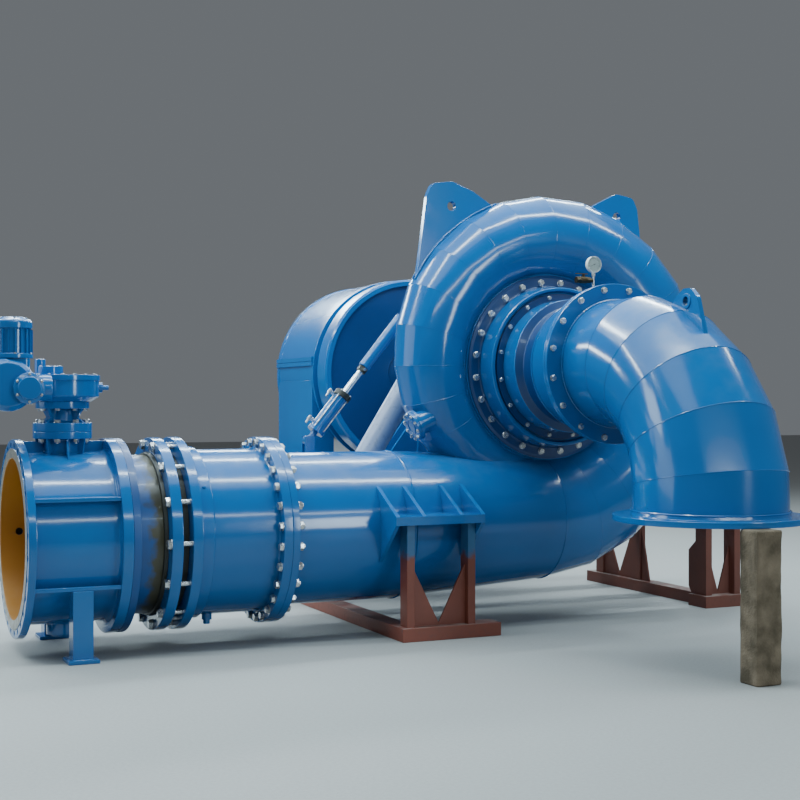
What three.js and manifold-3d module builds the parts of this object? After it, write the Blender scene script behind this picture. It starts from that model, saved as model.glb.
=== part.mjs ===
// Water turbine unit with a horizontal shaft, as it stands on its shop trestles: inlet butterfly
// valve, dismantling joint, inlet pipe, spiral case, draft elbow, regulating gear and generator drum.
// Millimetres, +Z up. X runs along the inlet pipe, Y along the shaft towards the generator.
import * as THREE from "three";
import { mergeVertices } from "three/addons/utils/BufferGeometryUtils.js";
import Module from "manifold-3d";

const wasm = await Module();
wasm.setup();

// Gap between pieces that touch, and the number of sides of round pieces by size.
const GAP = 0.3;
const LARGE = 32;
const MEDIUM = 16;
const SMALL = 8;

// Inlet line: one nominal bore of 900 with its bolted flanges.
const PIPE_AXIS_HEIGHT = 640;
const BORE = 450;
const PIPE = 460;
const FLANGE = 557.5;

// Stations along the inlet line, measured from the open face of the valve.
const VALVE_END = 562;
const STEM_X = 280;
const GLAND_START = 774;
const GLAND_END = 836;
const SLEEVE_START = 892;
const COLLAR_START = 949;
const COLLAR_END = 1030;
const SLEEVE_FLANGE = 1422;
const SLEEVE_END = 1475;
const PIPE_FLANGE_END = 1520;
const PIPE_END = 2300;

// Valve.
const VALVE_SHELL = 485;
const VALVE_FLANGE_THICK = 45;
const STEM = 40;
const NECK_TOP = 600;
const PAD = 165;
const RIB_HEIGHT = 240;
const RIB_HALF = 11;
const GEARBOX_BOTTOM = 770;
const GEARBOX_TOP = 920;
const GEARBOX_RADIUS = 210;
const WORM_START = -195;

// Shaft line, seen from the open face of the valve and the floor.
const SHAFT_X = 3370;
const SHAFT_HEIGHT = 1635;
const PIPE_BELOW_SHAFT = PIPE_AXIS_HEIGHT - SHAFT_HEIGHT;

// Spiral case: its outer radius shrinks evenly with the angle from the bottom.
const CASE_START = -90;
const CASE_END = 255;
const CASE_SEGMENTS = 23;
const CASE_ARC_POINTS = 14;
const CASE_WALL = 12;
const STAY_OUTER = 600;
const STAY_INNER = 500;
const STAY_GAP_HALF = 150;
const STAY_HALF = 180;

// Covers and draft tube, along the shaft.
const COVER = 594;
const COVER_FACE = 200;
const HEAD_FACE = 225;
const COVER_RIM_END = 345;
const COVER_HUB_END = 312;
const COVER_RING = 466;
const COVER_RING_END = 332;
const CONE = 392;
const CONE_BAND = 420;
const CONE_BAND_END = 476;
const CONE_GROOVE = 368;
const CONE_GROOVE_END = 600;
const DRAFT_FLANGE_START = 920;
const DRAFT_FLANGE_FACE = 945;
const DRAFT_FLANGE_END = 970;
const DRAFT_FLANGE = 480;
const DRAFT_BORE = 345;

// Draft elbow of straight pieces, mitred.
const BEND = 760;
const BEND_START = 1120;
const BEND_SEAMS = 5;
const ELBOW_IN = 377;
const ELBOW_OUT = 416;
const ELBOW_WALL = 10;
const ELBOW_FOOT = 865;
const ELBOW_SIDES = 28;
const ELBOW_FLANGE_THICK = 53;
const ELBOW_FLANGE = 520;

// Regulating gear, in the plane of the ring behind the case.
const RING_Y = 750;
const RING_HALF = 35;
const RING_INNER = 500;
const RING_OUTER = 620;
const RING_PIN_RADIUS = 715;
const LINK_SLOPE = 50.8;
const SERVO_LENGTH = 1210;

// Shaft and generator drum.
const SHAFT = 110;
const DRUM_FRONT = 1950;
const DRUM_LIP_END = 2100;
const DRUM_GROOVE_END = 2170;
const DRUM_END = 3020;
const DRUM = 750;
const DRUM_LIP = 740;
const DRUM_FACE = 690;

// Bed and trestles, from the floor.
const FOOT_TOP = 740;
const FOOT_BOTTOM = 690;
const RAIL_TOP = 80;
const RAIL_END = 1390;
const CROSS_BOTTOM = 550;
const BEAM_BOTTOM = 700;
const BEAM_TOP = 860;
const BEAM_OFFSET = 620;
const POST = 50;

const AXES = {
  x: new THREE.Matrix4().makeRotationZ(-Math.PI / 2),
  y: new THREE.Matrix4(),
  z: new THREE.Matrix4().makeRotationX(Math.PI / 2),
};

const PLANES = {
  x: new THREE.Matrix4().makeBasis(
    new THREE.Vector3(0, 1, 0),
    new THREE.Vector3(0, 0, 1),
    new THREE.Vector3(1, 0, 0),
  ),
  y: new THREE.Matrix4().makeBasis(
    new THREE.Vector3(1, 0, 0),
    new THREE.Vector3(0, 0, 1),
    new THREE.Vector3(0, -1, 0),
  ),
  z: new THREE.Matrix4(),
};

function paint(name, colour, roughness, metalness) {
  return new THREE.MeshStandardMaterial({ name, color: colour, roughness, metalness });
}

const BLUE = paint("blue paint", 0x1a6fb5, 0.3, 0.1);
const DARK_BLUE = paint("dark blue paint", 0x123f78, 0.35, 0.1);
const PRIMER = paint("red brown primer", 0x6b3127, 0.7, 0);
const STEEL = paint("bright steel", 0xb9bec2, 0.3, 0.9);
const DIRTY_STEEL = paint("oiled steel", 0x4b4a3a, 0.5, 0.6);
const BRASS = paint("dark brass", 0x5b4a2a, 0.4, 0.8);
const GAUGE = paint("pale gauge", 0xc9d6cf, 0.3, 0.3);
const CONCRETE = paint("concrete", 0x8a8371, 0.95, 0);

/** A closed three.js geometry as a solid with its doubled vertices merged and its faces out. */
function solid(geometry) {
  geometry.deleteAttribute("normal");
  geometry.deleteAttribute("uv");
  const merged = mergeVertices(geometry, 1e-3);
  const index = merged.index.array;
  const kept = [];
  for (let i = 0; i < index.length; i += 3) {
    const [a, b, c] = [index[i], index[i + 1], index[i + 2]];
    if (a !== b && b !== c && c !== a) kept.push(a, b, c);
  }
  const build = (triangles) =>
    new wasm.Manifold(
      new wasm.Mesh({
        numProp: 3,
        vertProperties: new Float32Array(merged.attributes.position.array),
        triVerts: new Uint32Array(triangles),
      }),
    );
  const made = build(kept);
  return made.volume() < 0 ? build(kept.reverse()) : made;
}

const join = (...solids) => solids.reduce((sum, next) => sum.add(next));
const cut = (body, ...tools) => tools.reduce((rest, tool) => rest.subtract(tool), body);
const largest = (body) => body.decompose().sort((a, b) => b.volume() - a.volume())[0];

/** Both sides of a body at a plane through a point, with half a gap taken off each. */
function parted(body, normal, point) {
  const offset = new THREE.Vector3(...normal).dot(new THREE.Vector3(...point));
  const back = normal.map((value) => -value);
  const ahead = body.trimByPlane(normal, offset + GAP / 2);
  return [body.trimByPlane(back, GAP / 2 - offset), ahead];
}

/** A box between two values on each axis. */
function block([x0, x1], [y0, y1], [z0, z1]) {
  const geometry = new THREE.BoxGeometry(x1 - x0, y1 - y0, z1 - z0);
  return solid(geometry.translate((x0 + x1) / 2, (y0 + y1) / 2, (z0 + z1) / 2));
}

/** A closed profile of [radius, along] points turned about an axis through the origin. */
function turned(axis, profile, sides) {
  const points = [...profile, profile[0]].map(([radius, along]) => new THREE.Vector2(radius, along));
  return solid(new THREE.LatheGeometry(points, sides).applyMatrix4(AXES[axis]));
}

function ring(axis, outer, inner, from, to, sides = LARGE) {
  const profile = [[inner, from], [outer, from], [outer, to], [inner, to]];
  return turned(axis, profile, sides);
}

function disc(axis, radius, from, to, sides = MEDIUM, endRadius = radius) {
  const geometry = new THREE.CylinderGeometry(endRadius, radius, to - from, sides);
  return solid(geometry.translate(0, (from + to) / 2, 0).applyMatrix4(AXES[axis]));
}

/** A flat outline, given across the axis, thickened along it. */
function slab(axis, outline, from, to) {
  const shape = new THREE.Shape(outline.map(([u, v]) => new THREE.Vector2(u, v)));
  const depth = to - from;
  const geometry = new THREE.ExtrudeGeometry(shape, { depth, bevelEnabled: false });
  geometry.applyMatrix4(PLANES[axis]);
  const shift = { x: [from, 0, 0], y: [0, to, 0], z: [0, 0, from] }[axis];
  return solid(geometry.translate(...shift));
}

/** A round bar between two points. */
function bar(start, end, radius, sides = SMALL) {
  const a = new THREE.Vector3(...start);
  const b = new THREE.Vector3(...end);
  const along = b.clone().sub(a);
  const turn = new THREE.Quaternion().setFromUnitVectors(
    new THREE.Vector3(0, 1, 0),
    along.clone().normalize(),
  );
  const middle = a.add(b).multiplyScalar(0.5);
  const geometry = new THREE.CylinderGeometry(radius, radius, along.length(), sides);
  return solid(geometry.applyQuaternion(turn).translate(middle.x, middle.y, middle.z));
}

/** A body through a row of convex loops that all have the same number of points. */
function loft(loops) {
  const count = loops[0].length;
  const positions = loops.flat().flatMap((point) => [point.x, point.y, point.z]);
  const index = [];
  for (let i = 0; i + 1 < loops.length; i++)
    for (let j = 0; j < count; j++) {
      const a = i * count + j;
      const b = i * count + ((j + 1) % count);
      index.push(a, b, b + count, a, b + count, a + count);
    }
  const last = (loops.length - 1) * count;
  for (let j = 1; j + 1 < count; j++) {
    index.push(0, j + 1, j);
    index.push(last, last + j, last + j + 1);
  }
  const geometry = new THREE.BufferGeometry();
  geometry.setAttribute("position", new THREE.Float32BufferAttribute(positions, 3));
  geometry.setIndex(index);
  return solid(geometry);
}

/** A solid round pipe through a row of points, mitred where it turns. */
function mitredPipe(points, radius, sides = MEDIUM) {
  const path = points.map((point) => new THREE.Vector3(...point));
  const legs = path.slice(1).map((point, i) => point.clone().sub(path[i]).normalize());
  const side = new THREE.Vector3().crossVectors(legs[0], legs[1]).normalize();
  const loops = path.map((point, i) => {
    const before = legs[Math.max(i - 1, 0)];
    const after = legs[Math.min(i, legs.length - 1)];
    const facing = before.clone().add(after).normalize();
    const up = new THREE.Vector3().crossVectors(side, facing);
    const stretch = 1 / facing.dot(before);
    const loop = [];
    for (let j = 0; j < sides; j++) {
      const turn = (j * 2 * Math.PI) / sides;
      loop.push(
        point
          .clone()
          .addScaledVector(side, radius * Math.cos(turn))
          .addScaledVector(up, radius * stretch * Math.sin(turn)),
      );
    }
    return loop;
  });
  return loft(loops);
}

/** Solids set evenly round an axis at a radius, each made once at the origin by make(). */
function around(count, radius, make, first = 0) {
  const solids = [];
  for (let i = 0; i < count; i++) {
    const angle = first + (i * 2 * Math.PI) / count;
    solids.push(make(radius * Math.cos(angle), radius * Math.sin(angle)));
  }
  return solids;
}

function piece(group, name, body, material) {
  const result = body.getMesh();
  const geometry = new THREE.BufferGeometry();
  const numbers = result.vertProperties;
  const stride = result.numProp;
  const positions = new Float32Array((numbers.length / stride) * 3);
  for (let i = 0; i < positions.length / 3; i++)
    positions.set(numbers.subarray(i * stride, i * stride + 3), i * 3);
  geometry.setAttribute("position", new THREE.BufferAttribute(positions, 3));
  geometry.setIndex(new THREE.BufferAttribute(new Uint32Array(result.triVerts), 1));
  geometry.computeVertexNormals();
  const mesh = new THREE.Mesh(geometry, material);
  mesh.name = name;
  group.add(mesh);
  return mesh;
}

/** Inlet valve: body, feet, disc, stem and drive. Its group stands on the pipe axis. */
function valve(line) {
  const neckBore = disc("z", STEM + 1, 0, NECK_TOP + 10, MEDIUM).translate([STEM_X, 0, 0]);
  const shell = turned(
    "x",
    [
      [BORE, 0],
      [FLANGE, 0],
      [FLANGE, VALVE_FLANGE_THICK],
      [VALVE_SHELL, VALVE_FLANGE_THICK],
      [VALVE_SHELL, VALVE_END - 57],
      [FLANGE, VALVE_END - 57],
      [FLANGE, VALVE_END],
      [BORE, VALVE_END],
    ],
    LARGE,
  );
  const ribLength = [40, VALVE_END - 50];
  const ribs = [block(ribLength, [-RIB_HALF, RIB_HALF], [470, 545])];
  for (const side of [-1, 1])
    for (const height of [-RIB_HEIGHT, RIB_HEIGHT]) {
      const across = [side * 400, side * 490].sort((a, b) => a - b);
      ribs.push(block(ribLength, across, [height - RIB_HALF, height + RIB_HALF]));
    }
  const neck = join(
    disc("z", 105, 440, NECK_TOP - 40, MEDIUM),
    disc("z", PAD, NECK_TOP - 40, NECK_TOP, MEDIUM),
  ).translate([STEM_X, 0, 0]);
  const bearing = disc("z", 90, -550, -440, MEDIUM).translate([STEM_X, 0, 0]);
  const bearingBore = disc("z", STEM + 1, -540, -400, MEDIUM).translate([STEM_X, 0, 0]);
  const bypass = disc("y", 45, 470, 540, SMALL).translate([110, 0, 0]);
  const bypassBore = disc("y", 22, 400, 560, SMALL).translate([110, 0, 0]);
  const water = disc("x", BORE, -5, VALVE_END + 5, LARGE);
  const outside = join(shell, ...ribs, neck, bearing, bypass);
  piece(line, "valve_body", cut(outside, water, neckBore, bearingBore, bypassBore), BLUE);

  const underRib = -RIB_HEIGHT - RIB_HALF - GAP;
  const shellRound = disc("x", VALVE_SHELL + GAP, 0, VALVE_END, LARGE);
  for (const [name, side] of [["valve_foot_front", -1], ["valve_foot_back", 1]]) {
    const across = [side * 380, side * 495].sort((a, b) => a - b);
    const leg = block([245, 355], across, [-PIPE_AXIS_HEIGHT, underRib]);
    const soleAcross = [side * 350, side * 525].sort((a, b) => a - b);
    const sole = block([215, 385], soleAcross, [-PIPE_AXIS_HEIGHT, -PIPE_AXIS_HEIGHT + 20]);
    piece(line, name, cut(join(leg, sole), shellRound), BLUE);
  }

  const discBody = join(
    turned("x", [[0, -60], [150, -55], [442, -18], [442, 18], [150, 55], [0, 60]], LARGE),
    disc("z", 75, -432, 432, MEDIUM),
    disc("z", STEM, -540 + GAP, -300, MEDIUM),
  );
  const socket = disc("z", STEM + GAP, 360, 460, MEDIUM);
  const discShape = cut(discBody, socket);
  piece(line, "valve_disc", discShape.translate([STEM_X, 0, 0]), DARK_BLUE);
  const stem = disc("z", STEM, 360 + GAP, GEARBOX_TOP - 40, MEDIUM).translate([STEM_X, 0, 0]);
  piece(line, "valve_stem", stem, STEEL);

  const housing = join(
    disc("z", PAD, NECK_TOP + GAP, NECK_TOP + 55, MEDIUM),
    disc("z", 80, NECK_TOP + 40, GEARBOX_BOTTOM - 40, MEDIUM),
    disc("z", 150, GEARBOX_BOTTOM - 50, GEARBOX_BOTTOM - GAP, MEDIUM),
  );
  const housingBore = disc("z", STEM + 1, NECK_TOP - 10, GEARBOX_BOTTOM + 10, MEDIUM);
  piece(line, "stem_housing", cut(housing, housingBore).translate([STEM_X, 0, 0]), BLUE);

  const gearbox = join(
    disc("z", GEARBOX_RADIUS, GEARBOX_BOTTOM, GEARBOX_TOP, LARGE),
    disc("z", 80, GEARBOX_TOP - 5, GEARBOX_TOP + 50, MEDIUM).translate([-71, 0, 0]),
    disc("z", 30, GEARBOX_TOP - 5, GEARBOX_TOP + 90, MEDIUM).translate([-125, 0, 0]),
    bar([WORM_START, -175, 845], [-95, -175, 845], 75, MEDIUM),
    bar([200, 0, 850], [262, 0, 850], 14, SMALL),
  );
  const gearboxBore = disc("z", STEM + 1, GEARBOX_BOTTOM - 10, GEARBOX_TOP - 35, MEDIUM);
  piece(line, "gearbox", cut(gearbox, gearboxBore).translate([STEM_X, 0, 0]), BLUE);
  actuator(line);
}

/** Electric drive on the worm shaft of the valve gearbox. */
function actuator(line) {
  const wormEnd = STEM_X + WORM_START - GAP;
  const body = join(
    bar([-65, -330, 860], [-65, -80, 860], 145, MEDIUM),
    bar([wormEnd - 60, -175, 845], [wormEnd, -175, 845], 85, MEDIUM),
    block([-120, 60], [-300, -110], [800, 1005]),
    bar([37, -345, 842], [37, -262, 842], 85, MEDIUM),
  );
  piece(line, "actuator_body", body, BLUE);
  const motor = join(
    disc("z", 112, 1005 + GAP, 1180, MEDIUM),
    disc("z", 112, 1180, 1230, MEDIUM, 70),
  );
  piece(line, "actuator_motor", motor.translate([-30, -205, 0]), BLUE);
  const cover = join(
    bar([37, -372, 842], [37, -345 - GAP, 842], 83, MEDIUM),
    bar([37, -385, 842], [37, -372, 842], 65, MEDIUM),
  );
  piece(line, "actuator_cover", cover, BLUE);
}

/** A pipe of the inlet line with a flange at its upstream end. */
function flangedPipe(start, flangeEnd, end) {
  const profile = [
    [BORE, start],
    [FLANGE, start],
    [FLANGE, flangeEnd],
    [PIPE, flangeEnd],
    [PIPE, end],
    [BORE, end],
  ];
  return turned("x", profile, LARGE);
}

/** Dismantling joint: telescoping inner pipe, gland flange with its tie rods, and sleeve. */
function dismantlingJoint(line) {
  const innerPipe = flangedPipe(VALVE_END + GAP, 605, 1350);
  piece(line, "joint_inner_pipe", innerPipe, DIRTY_STEEL);

  const rods = around(
    12,
    520,
    (y, z) => bar([GLAND_START - 50, y, z], [985, y, z], 15, 6),
    Math.PI / 12,
  );
  const gland = ring("x", 560, PIPE + 2 * GAP, GLAND_START, GLAND_END);
  piece(line, "gland_flange", join(gland, ...rods), BLUE);

  const slide = PIPE + 2 * GAP;
  const sleeve = turned(
    "x",
    [
      [slide, SLEEVE_START],
      [562.5, SLEEVE_START],
      [562.5, COLLAR_START],
      [505, COLLAR_START],
      [505, COLLAR_END],
      [487, COLLAR_END],
      [487, SLEEVE_FLANGE],
      [FLANGE, SLEEVE_FLANGE],
      [FLANGE, SLEEVE_END],
      [BORE, SLEEVE_END],
      [BORE, 1400],
      [slide, 1390],
    ],
    LARGE,
  );
  const rodHoles = around(
    12,
    520,
    (y, z) => bar([SLEEVE_START - 10, y, z], [1000, y, z], 15 + 2 * GAP, 6),
    Math.PI / 12,
  );
  const drain = bar([1110, -60, -500], [1110, -60, -540], 22, SMALL);
  const sleeveBoss = bar([1110, -60, -470], [1110, -60, -520], 30, SMALL);
  piece(line, "joint_sleeve", cut(join(sleeve, sleeveBoss, drain), ...rodHoles), BLUE);
}

function inletPipe(line) {
  const pipe = flangedPipe(SLEEVE_END + GAP, PIPE_FLANGE_END, PIPE_END);
  piece(line, "inlet_pipe", pipe, BLUE);
}

/** Radius from the shaft to the outside of the case, its section's centre and section radius. */
function caseSection(degrees) {
  const outer = 1000 + ((180 - degrees) * 400) / 280;
  const chord = STAY_OUTER * STAY_OUTER + STAY_GAP_HALF * STAY_GAP_HALF;
  const centre = (outer * outer - chord) / (2 * (outer - STAY_OUTER));
  return { outer, centre, radius: outer - centre };
}

/** One flat section of the case at an angle, with its radius changed by grow. */
function caseLoop(degrees, grow, chordRadius) {
  const { centre, radius } = caseSection(degrees);
  const angle = THREE.MathUtils.degToRad(degrees);
  const tube = radius + grow;
  const open = Math.acos((centre - chordRadius) / tube);
  const points = [];
  for (let i = 0; i <= CASE_ARC_POINTS; i++) {
    const turn = Math.PI - open - (i * 2 * (Math.PI - open)) / CASE_ARC_POINTS;
    const out = centre + tube * Math.cos(turn);
    points.push(
      new THREE.Vector3(out * Math.cos(angle), tube * Math.sin(turn), out * Math.sin(angle)),
    );
  }
  return points;
}

function caseBody(grow, chordRadius, extra = 0) {
  const loops = [];
  const step = (CASE_END - CASE_START) / CASE_SEGMENTS;
  for (let i = 0; i <= CASE_SEGMENTS; i++) {
    const overrun = i === 0 ? -extra : 0;
    loops.push(caseLoop(CASE_START + i * step + overrun, grow, chordRadius));
  }
  return loft(loops);
}

/** Radius of the case's inner edge at a section, which keeps its flat pieces off the stay ring. */
function caseSeat() {
  const step = THREE.MathUtils.degToRad((CASE_END - CASE_START) / CASE_SEGMENTS);
  return (STAY_OUTER + GAP) / Math.cos(step / 2);
}

/** The taper from the inlet pipe to the first section of the case, as a full body. */
function taperBody(grow, from, to) {
  const { centre, radius } = caseSection(CASE_START);
  const start = PIPE_END - SHAFT_X;
  const loops = [from, to].map((x) => {
    const share = (x - start) / -start;
    const tube = PIPE + (radius - PIPE) * share + grow;
    const height = PIPE_BELOW_SHAFT + (-centre - PIPE_BELOW_SHAFT) * share;
    const loop = [];
    for (let j = 0; j < LARGE; j++) {
      const turn = (j * 2 * Math.PI) / LARGE;
      loop.push(new THREE.Vector3(x, tube * Math.sin(turn), height + tube * Math.cos(turn)));
    }
    return loop;
  });
  return loft(loops);
}

/** Spiral case, its inlet taper, stay ring, lifting lugs and manhole. */
function spiralCase(turbine) {
  const start = PIPE_END - SHAFT_X;
  const stayRound = disc("y", STAY_OUTER + GAP, -STAY_HALF, STAY_HALF, LARGE);
  const taper = cut(taperBody(0, start + GAP, -GAP), taperBody(-10, start - 5, 5), stayRound);
  piece(turbine, "spiral_inlet_taper", taper, BLUE);

  const tail = taperBody(GAP, start, 0);
  const shell = cut(caseBody(0, caseSeat()), caseBody(-CASE_WALL, STAY_OUTER - 10, 1), tail);
  const [left, right] = parted(largest(shell), [1, 0, 0], [0, 0, 0]);
  const [lowerLeft, upperLeft] = parted(left, [0, 0, 1], [0, 0, 0]);
  const [lowerRight, upperRight] = parted(right, [0, 0, 1], [0, 0, 0]);
  piece(turbine, "case_lower_right", lowerRight, BLUE);
  piece(turbine, "case_upper_right", upperRight, BLUE);
  piece(turbine, "case_upper_left", upperLeft, BLUE);
  piece(turbine, "case_lower_left", largest(lowerLeft), BLUE);

  const vanes = around(8, 545, (x, z) => bar([x, -130, z], [x, 130, z], 24, 4));
  const stay = join(
    ring("y", STAY_OUTER, STAY_INNER, -STAY_HALF, -STAY_GAP_HALF + 30),
    ring("y", STAY_OUTER, STAY_INNER, STAY_GAP_HALF - 30, STAY_HALF),
    ...vanes,
  );
  piece(turbine, "stay_ring", stay, DARK_BLUE);

  const outside = join(caseBody(GAP, caseSeat()), tail);
  const leftLug = [[880, 540], [800, 1090], [770, 1150], [715, 1180], [600, 1180], [470, 1135], [280, 1020]];
  const rightLug = [[860, 560], [790, 1090], [765, 1150], [715, 1180], [600, 1175], [470, 1110], [300, 1020]];
  const lugs = [["lifting_lug_left", -1, leftLug], ["lifting_lug_right", 1, rightLug]];
  for (const [name, side, outline] of lugs) {
    const points = [...outline, [280, 700], [700, 400]].map(([x, z]) => [side * x, z]);
    const plate = slab("y", points, -20, 20);
    const hole = bar([side * 626, -30, 1030], [side * 626, 30, 1030], 30, 16);
    piece(turbine, name, cut(plate, outside, hole), BLUE);
  }

  const lean = THREE.MathUtils.degToRad(202);
  const out = (distance) => [distance * Math.cos(lean), -100, distance * Math.sin(lean)];
  const neck = cut(bar(out(880), out(1000), 72, MEDIUM), outside);
  piece(turbine, "manhole_neck", neck, BLUE);
  piece(turbine, "manhole_cover", bar(out(1000 + GAP), out(1022), 95, MEDIUM), BLUE);
}

/** Front cover, its bolted ring and the draft cone up to the elbow's flange. */
function covers(turbine) {
  const plate = STAY_HALF + GAP;
  const ringSeat = RING_INNER * Math.cos(Math.PI / LARGE) - GAP;
  const front = turned(
    "y",
    [
      [DRAFT_BORE, -plate],
      [COVER, -plate],
      [COVER, -COVER_FACE],
      [515, -COVER_FACE],
      [505, -COVER_RIM_END],
      [480, -COVER_RIM_END],
      [474, -COVER_HUB_END],
      [DRAFT_BORE, -COVER_HUB_END],
    ],
    LARGE,
  );
  piece(turbine, "front_cover", front, BLUE);
  const seat = COVER_HUB_END + GAP;
  piece(turbine, "cover_ring", ring("y", COVER_RING, DRAFT_BORE, -COVER_RING_END, -seat), BLUE);
  const cone = turned(
    "y",
    [
      [DRAFT_BORE, -COVER_RING_END - GAP],
      [CONE_BAND, -COVER_RING_END - GAP],
      [CONE_BAND, -CONE_BAND_END],
      [CONE_GROOVE, -CONE_BAND_END - 24],
      [CONE_GROOVE, -CONE_GROOVE_END],
      [CONE, -CONE_GROOVE_END - 20],
      [CONE, -DRAFT_FLANGE_START],
      [DRAFT_FLANGE, -DRAFT_FLANGE_START],
      [DRAFT_FLANGE, -DRAFT_FLANGE_FACE],
      [DRAFT_BORE + 15, -DRAFT_FLANGE_FACE],
    ],
    LARGE,
  );
  piece(turbine, "draft_cone", cone, BLUE);

  const rear = turned(
    "y",
    [
      [150, plate],
      [COVER, plate],
      [COVER, HEAD_FACE],
      [460, HEAD_FACE],
      [440, 300],
      [440, RING_Y - RING_HALF - 15],
      [540, RING_Y - RING_HALF - 15],
      [540, RING_Y - RING_HALF - GAP],
      [ringSeat, RING_Y - RING_HALF - GAP],
      [ringSeat, RING_Y + RING_HALF + 10],
      [150, RING_Y + RING_HALF + 10],
    ],
    LARGE,
  );
  piece(turbine, "head_cover", rear, BLUE);
}

/** Loops of the elbow at its two ends and at each seam, for the outside or the inside. */
function elbowBody(grow, overrun = 0) {
  const step = 90 / BEND_SEAMS;
  const half = THREE.MathUtils.degToRad(step / 2);
  const stations = [{ angle: 0, y: -DRAFT_FLANGE_FACE - GAP + overrun, z: 0, stretch: 1 }];
  for (let i = 0; i < BEND_SEAMS; i++) {
    const angle = THREE.MathUtils.degToRad(step * (i + 0.5));
    const reach = BEND / Math.cos(half);
    stations.push({
      angle,
      y: -BEND_START - reach * Math.sin(angle),
      z: -BEND + reach * Math.cos(angle),
      stretch: 1 / Math.cos(half),
    });
  }
  stations.push({
    angle: Math.PI / 2,
    y: -BEND_START - BEND,
    z: -ELBOW_FOOT - overrun,
    stretch: 1,
  });
  const loops = stations.map(({ angle, y, z, stretch }, i) => {
    const share = i / (stations.length - 1);
    const tube = ELBOW_IN + (ELBOW_OUT - ELBOW_IN) * share + grow;
    const loop = [];
    for (let j = 0; j < ELBOW_SIDES; j++) {
      const turn = (j * 2 * Math.PI) / ELBOW_SIDES;
      const out = tube * stretch * Math.sin(turn);
      loop.push(
        new THREE.Vector3(tube * Math.cos(turn), y - out * Math.sin(angle), z + out * Math.cos(angle)),
      );
    }
    return loop;
  });
  return loft(loops);
}

function elbow(turbine) {
  const collar = disc("y", DRAFT_FLANGE, -DRAFT_FLANGE_END, -DRAFT_FLANGE_FACE - GAP, LARGE);
  const shell = cut(join(elbowBody(0), collar), elbowBody(-ELBOW_WALL, 5));
  const middleSeam = [0, -Math.SQRT1_2, -Math.SQRT1_2];
  const [upper, lower] = parted(shell, middleSeam, [0, -BEND_START, -BEND]);
  piece(turbine, "draft_elbow_upper", upper, BLUE);
  piece(turbine, "draft_elbow_lower", lower, BLUE);

  const foot = ring(
    "z",
    ELBOW_FLANGE,
    ELBOW_OUT + GAP,
    -ELBOW_FOOT,
    -ELBOW_FOOT + ELBOW_FLANGE_THICK,
    ELBOW_SIDES,
  ).translate([0, -BEND_START - BEND, 0]);
  piece(turbine, "elbow_flange", cut(foot, elbowBody(GAP, 5)), BLUE);

  const crown = [[-1610, 372], [-1650, 390], [-1700, 395], [-1745, 380], [-1778, 340]];
  const outline = [[-1543, 300], ...crown, [-1849, 110], [-1700, 100]];
  const eye = bar([-20, -1682, 327], [20, -1682, 327], 25, 16);
  const plate = cut(slab("x", outline, -13, 13), elbowBody(GAP), eye);
  piece(turbine, "elbow_lug", plate, BLUE);
}

/** Pressure gauge on its stem and the cock beside it, on top of the draft cone. */
function gauge(turbine) {
  const at = -715;
  const dial = join(
    bar([0, at - 16, 617], [0, at + 16, 617], 52, MEDIUM),
    bar([0, at, 470], [0, at, 580], 9, SMALL),
    bar([0, at, CONE + GAP], [0, at, 475], 14, SMALL),
  );
  piece(turbine, "pressure_gauge", dial, GAUGE);
  const cock = join(
    bar([-6, at, 520], [-120, at, 520], 16, SMALL),
    bar([-70, at, 505], [-70, at, 560], 10, SMALL),
    block([-120, -40], [at - 9, at + 9], [555, 565]),
  );
  const collar = bar([0, at, 500], [0, at, 540], 9 + GAP, SMALL);
  piece(turbine, "gauge_cock", cut(cock, collar), BRASS);
}

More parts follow.
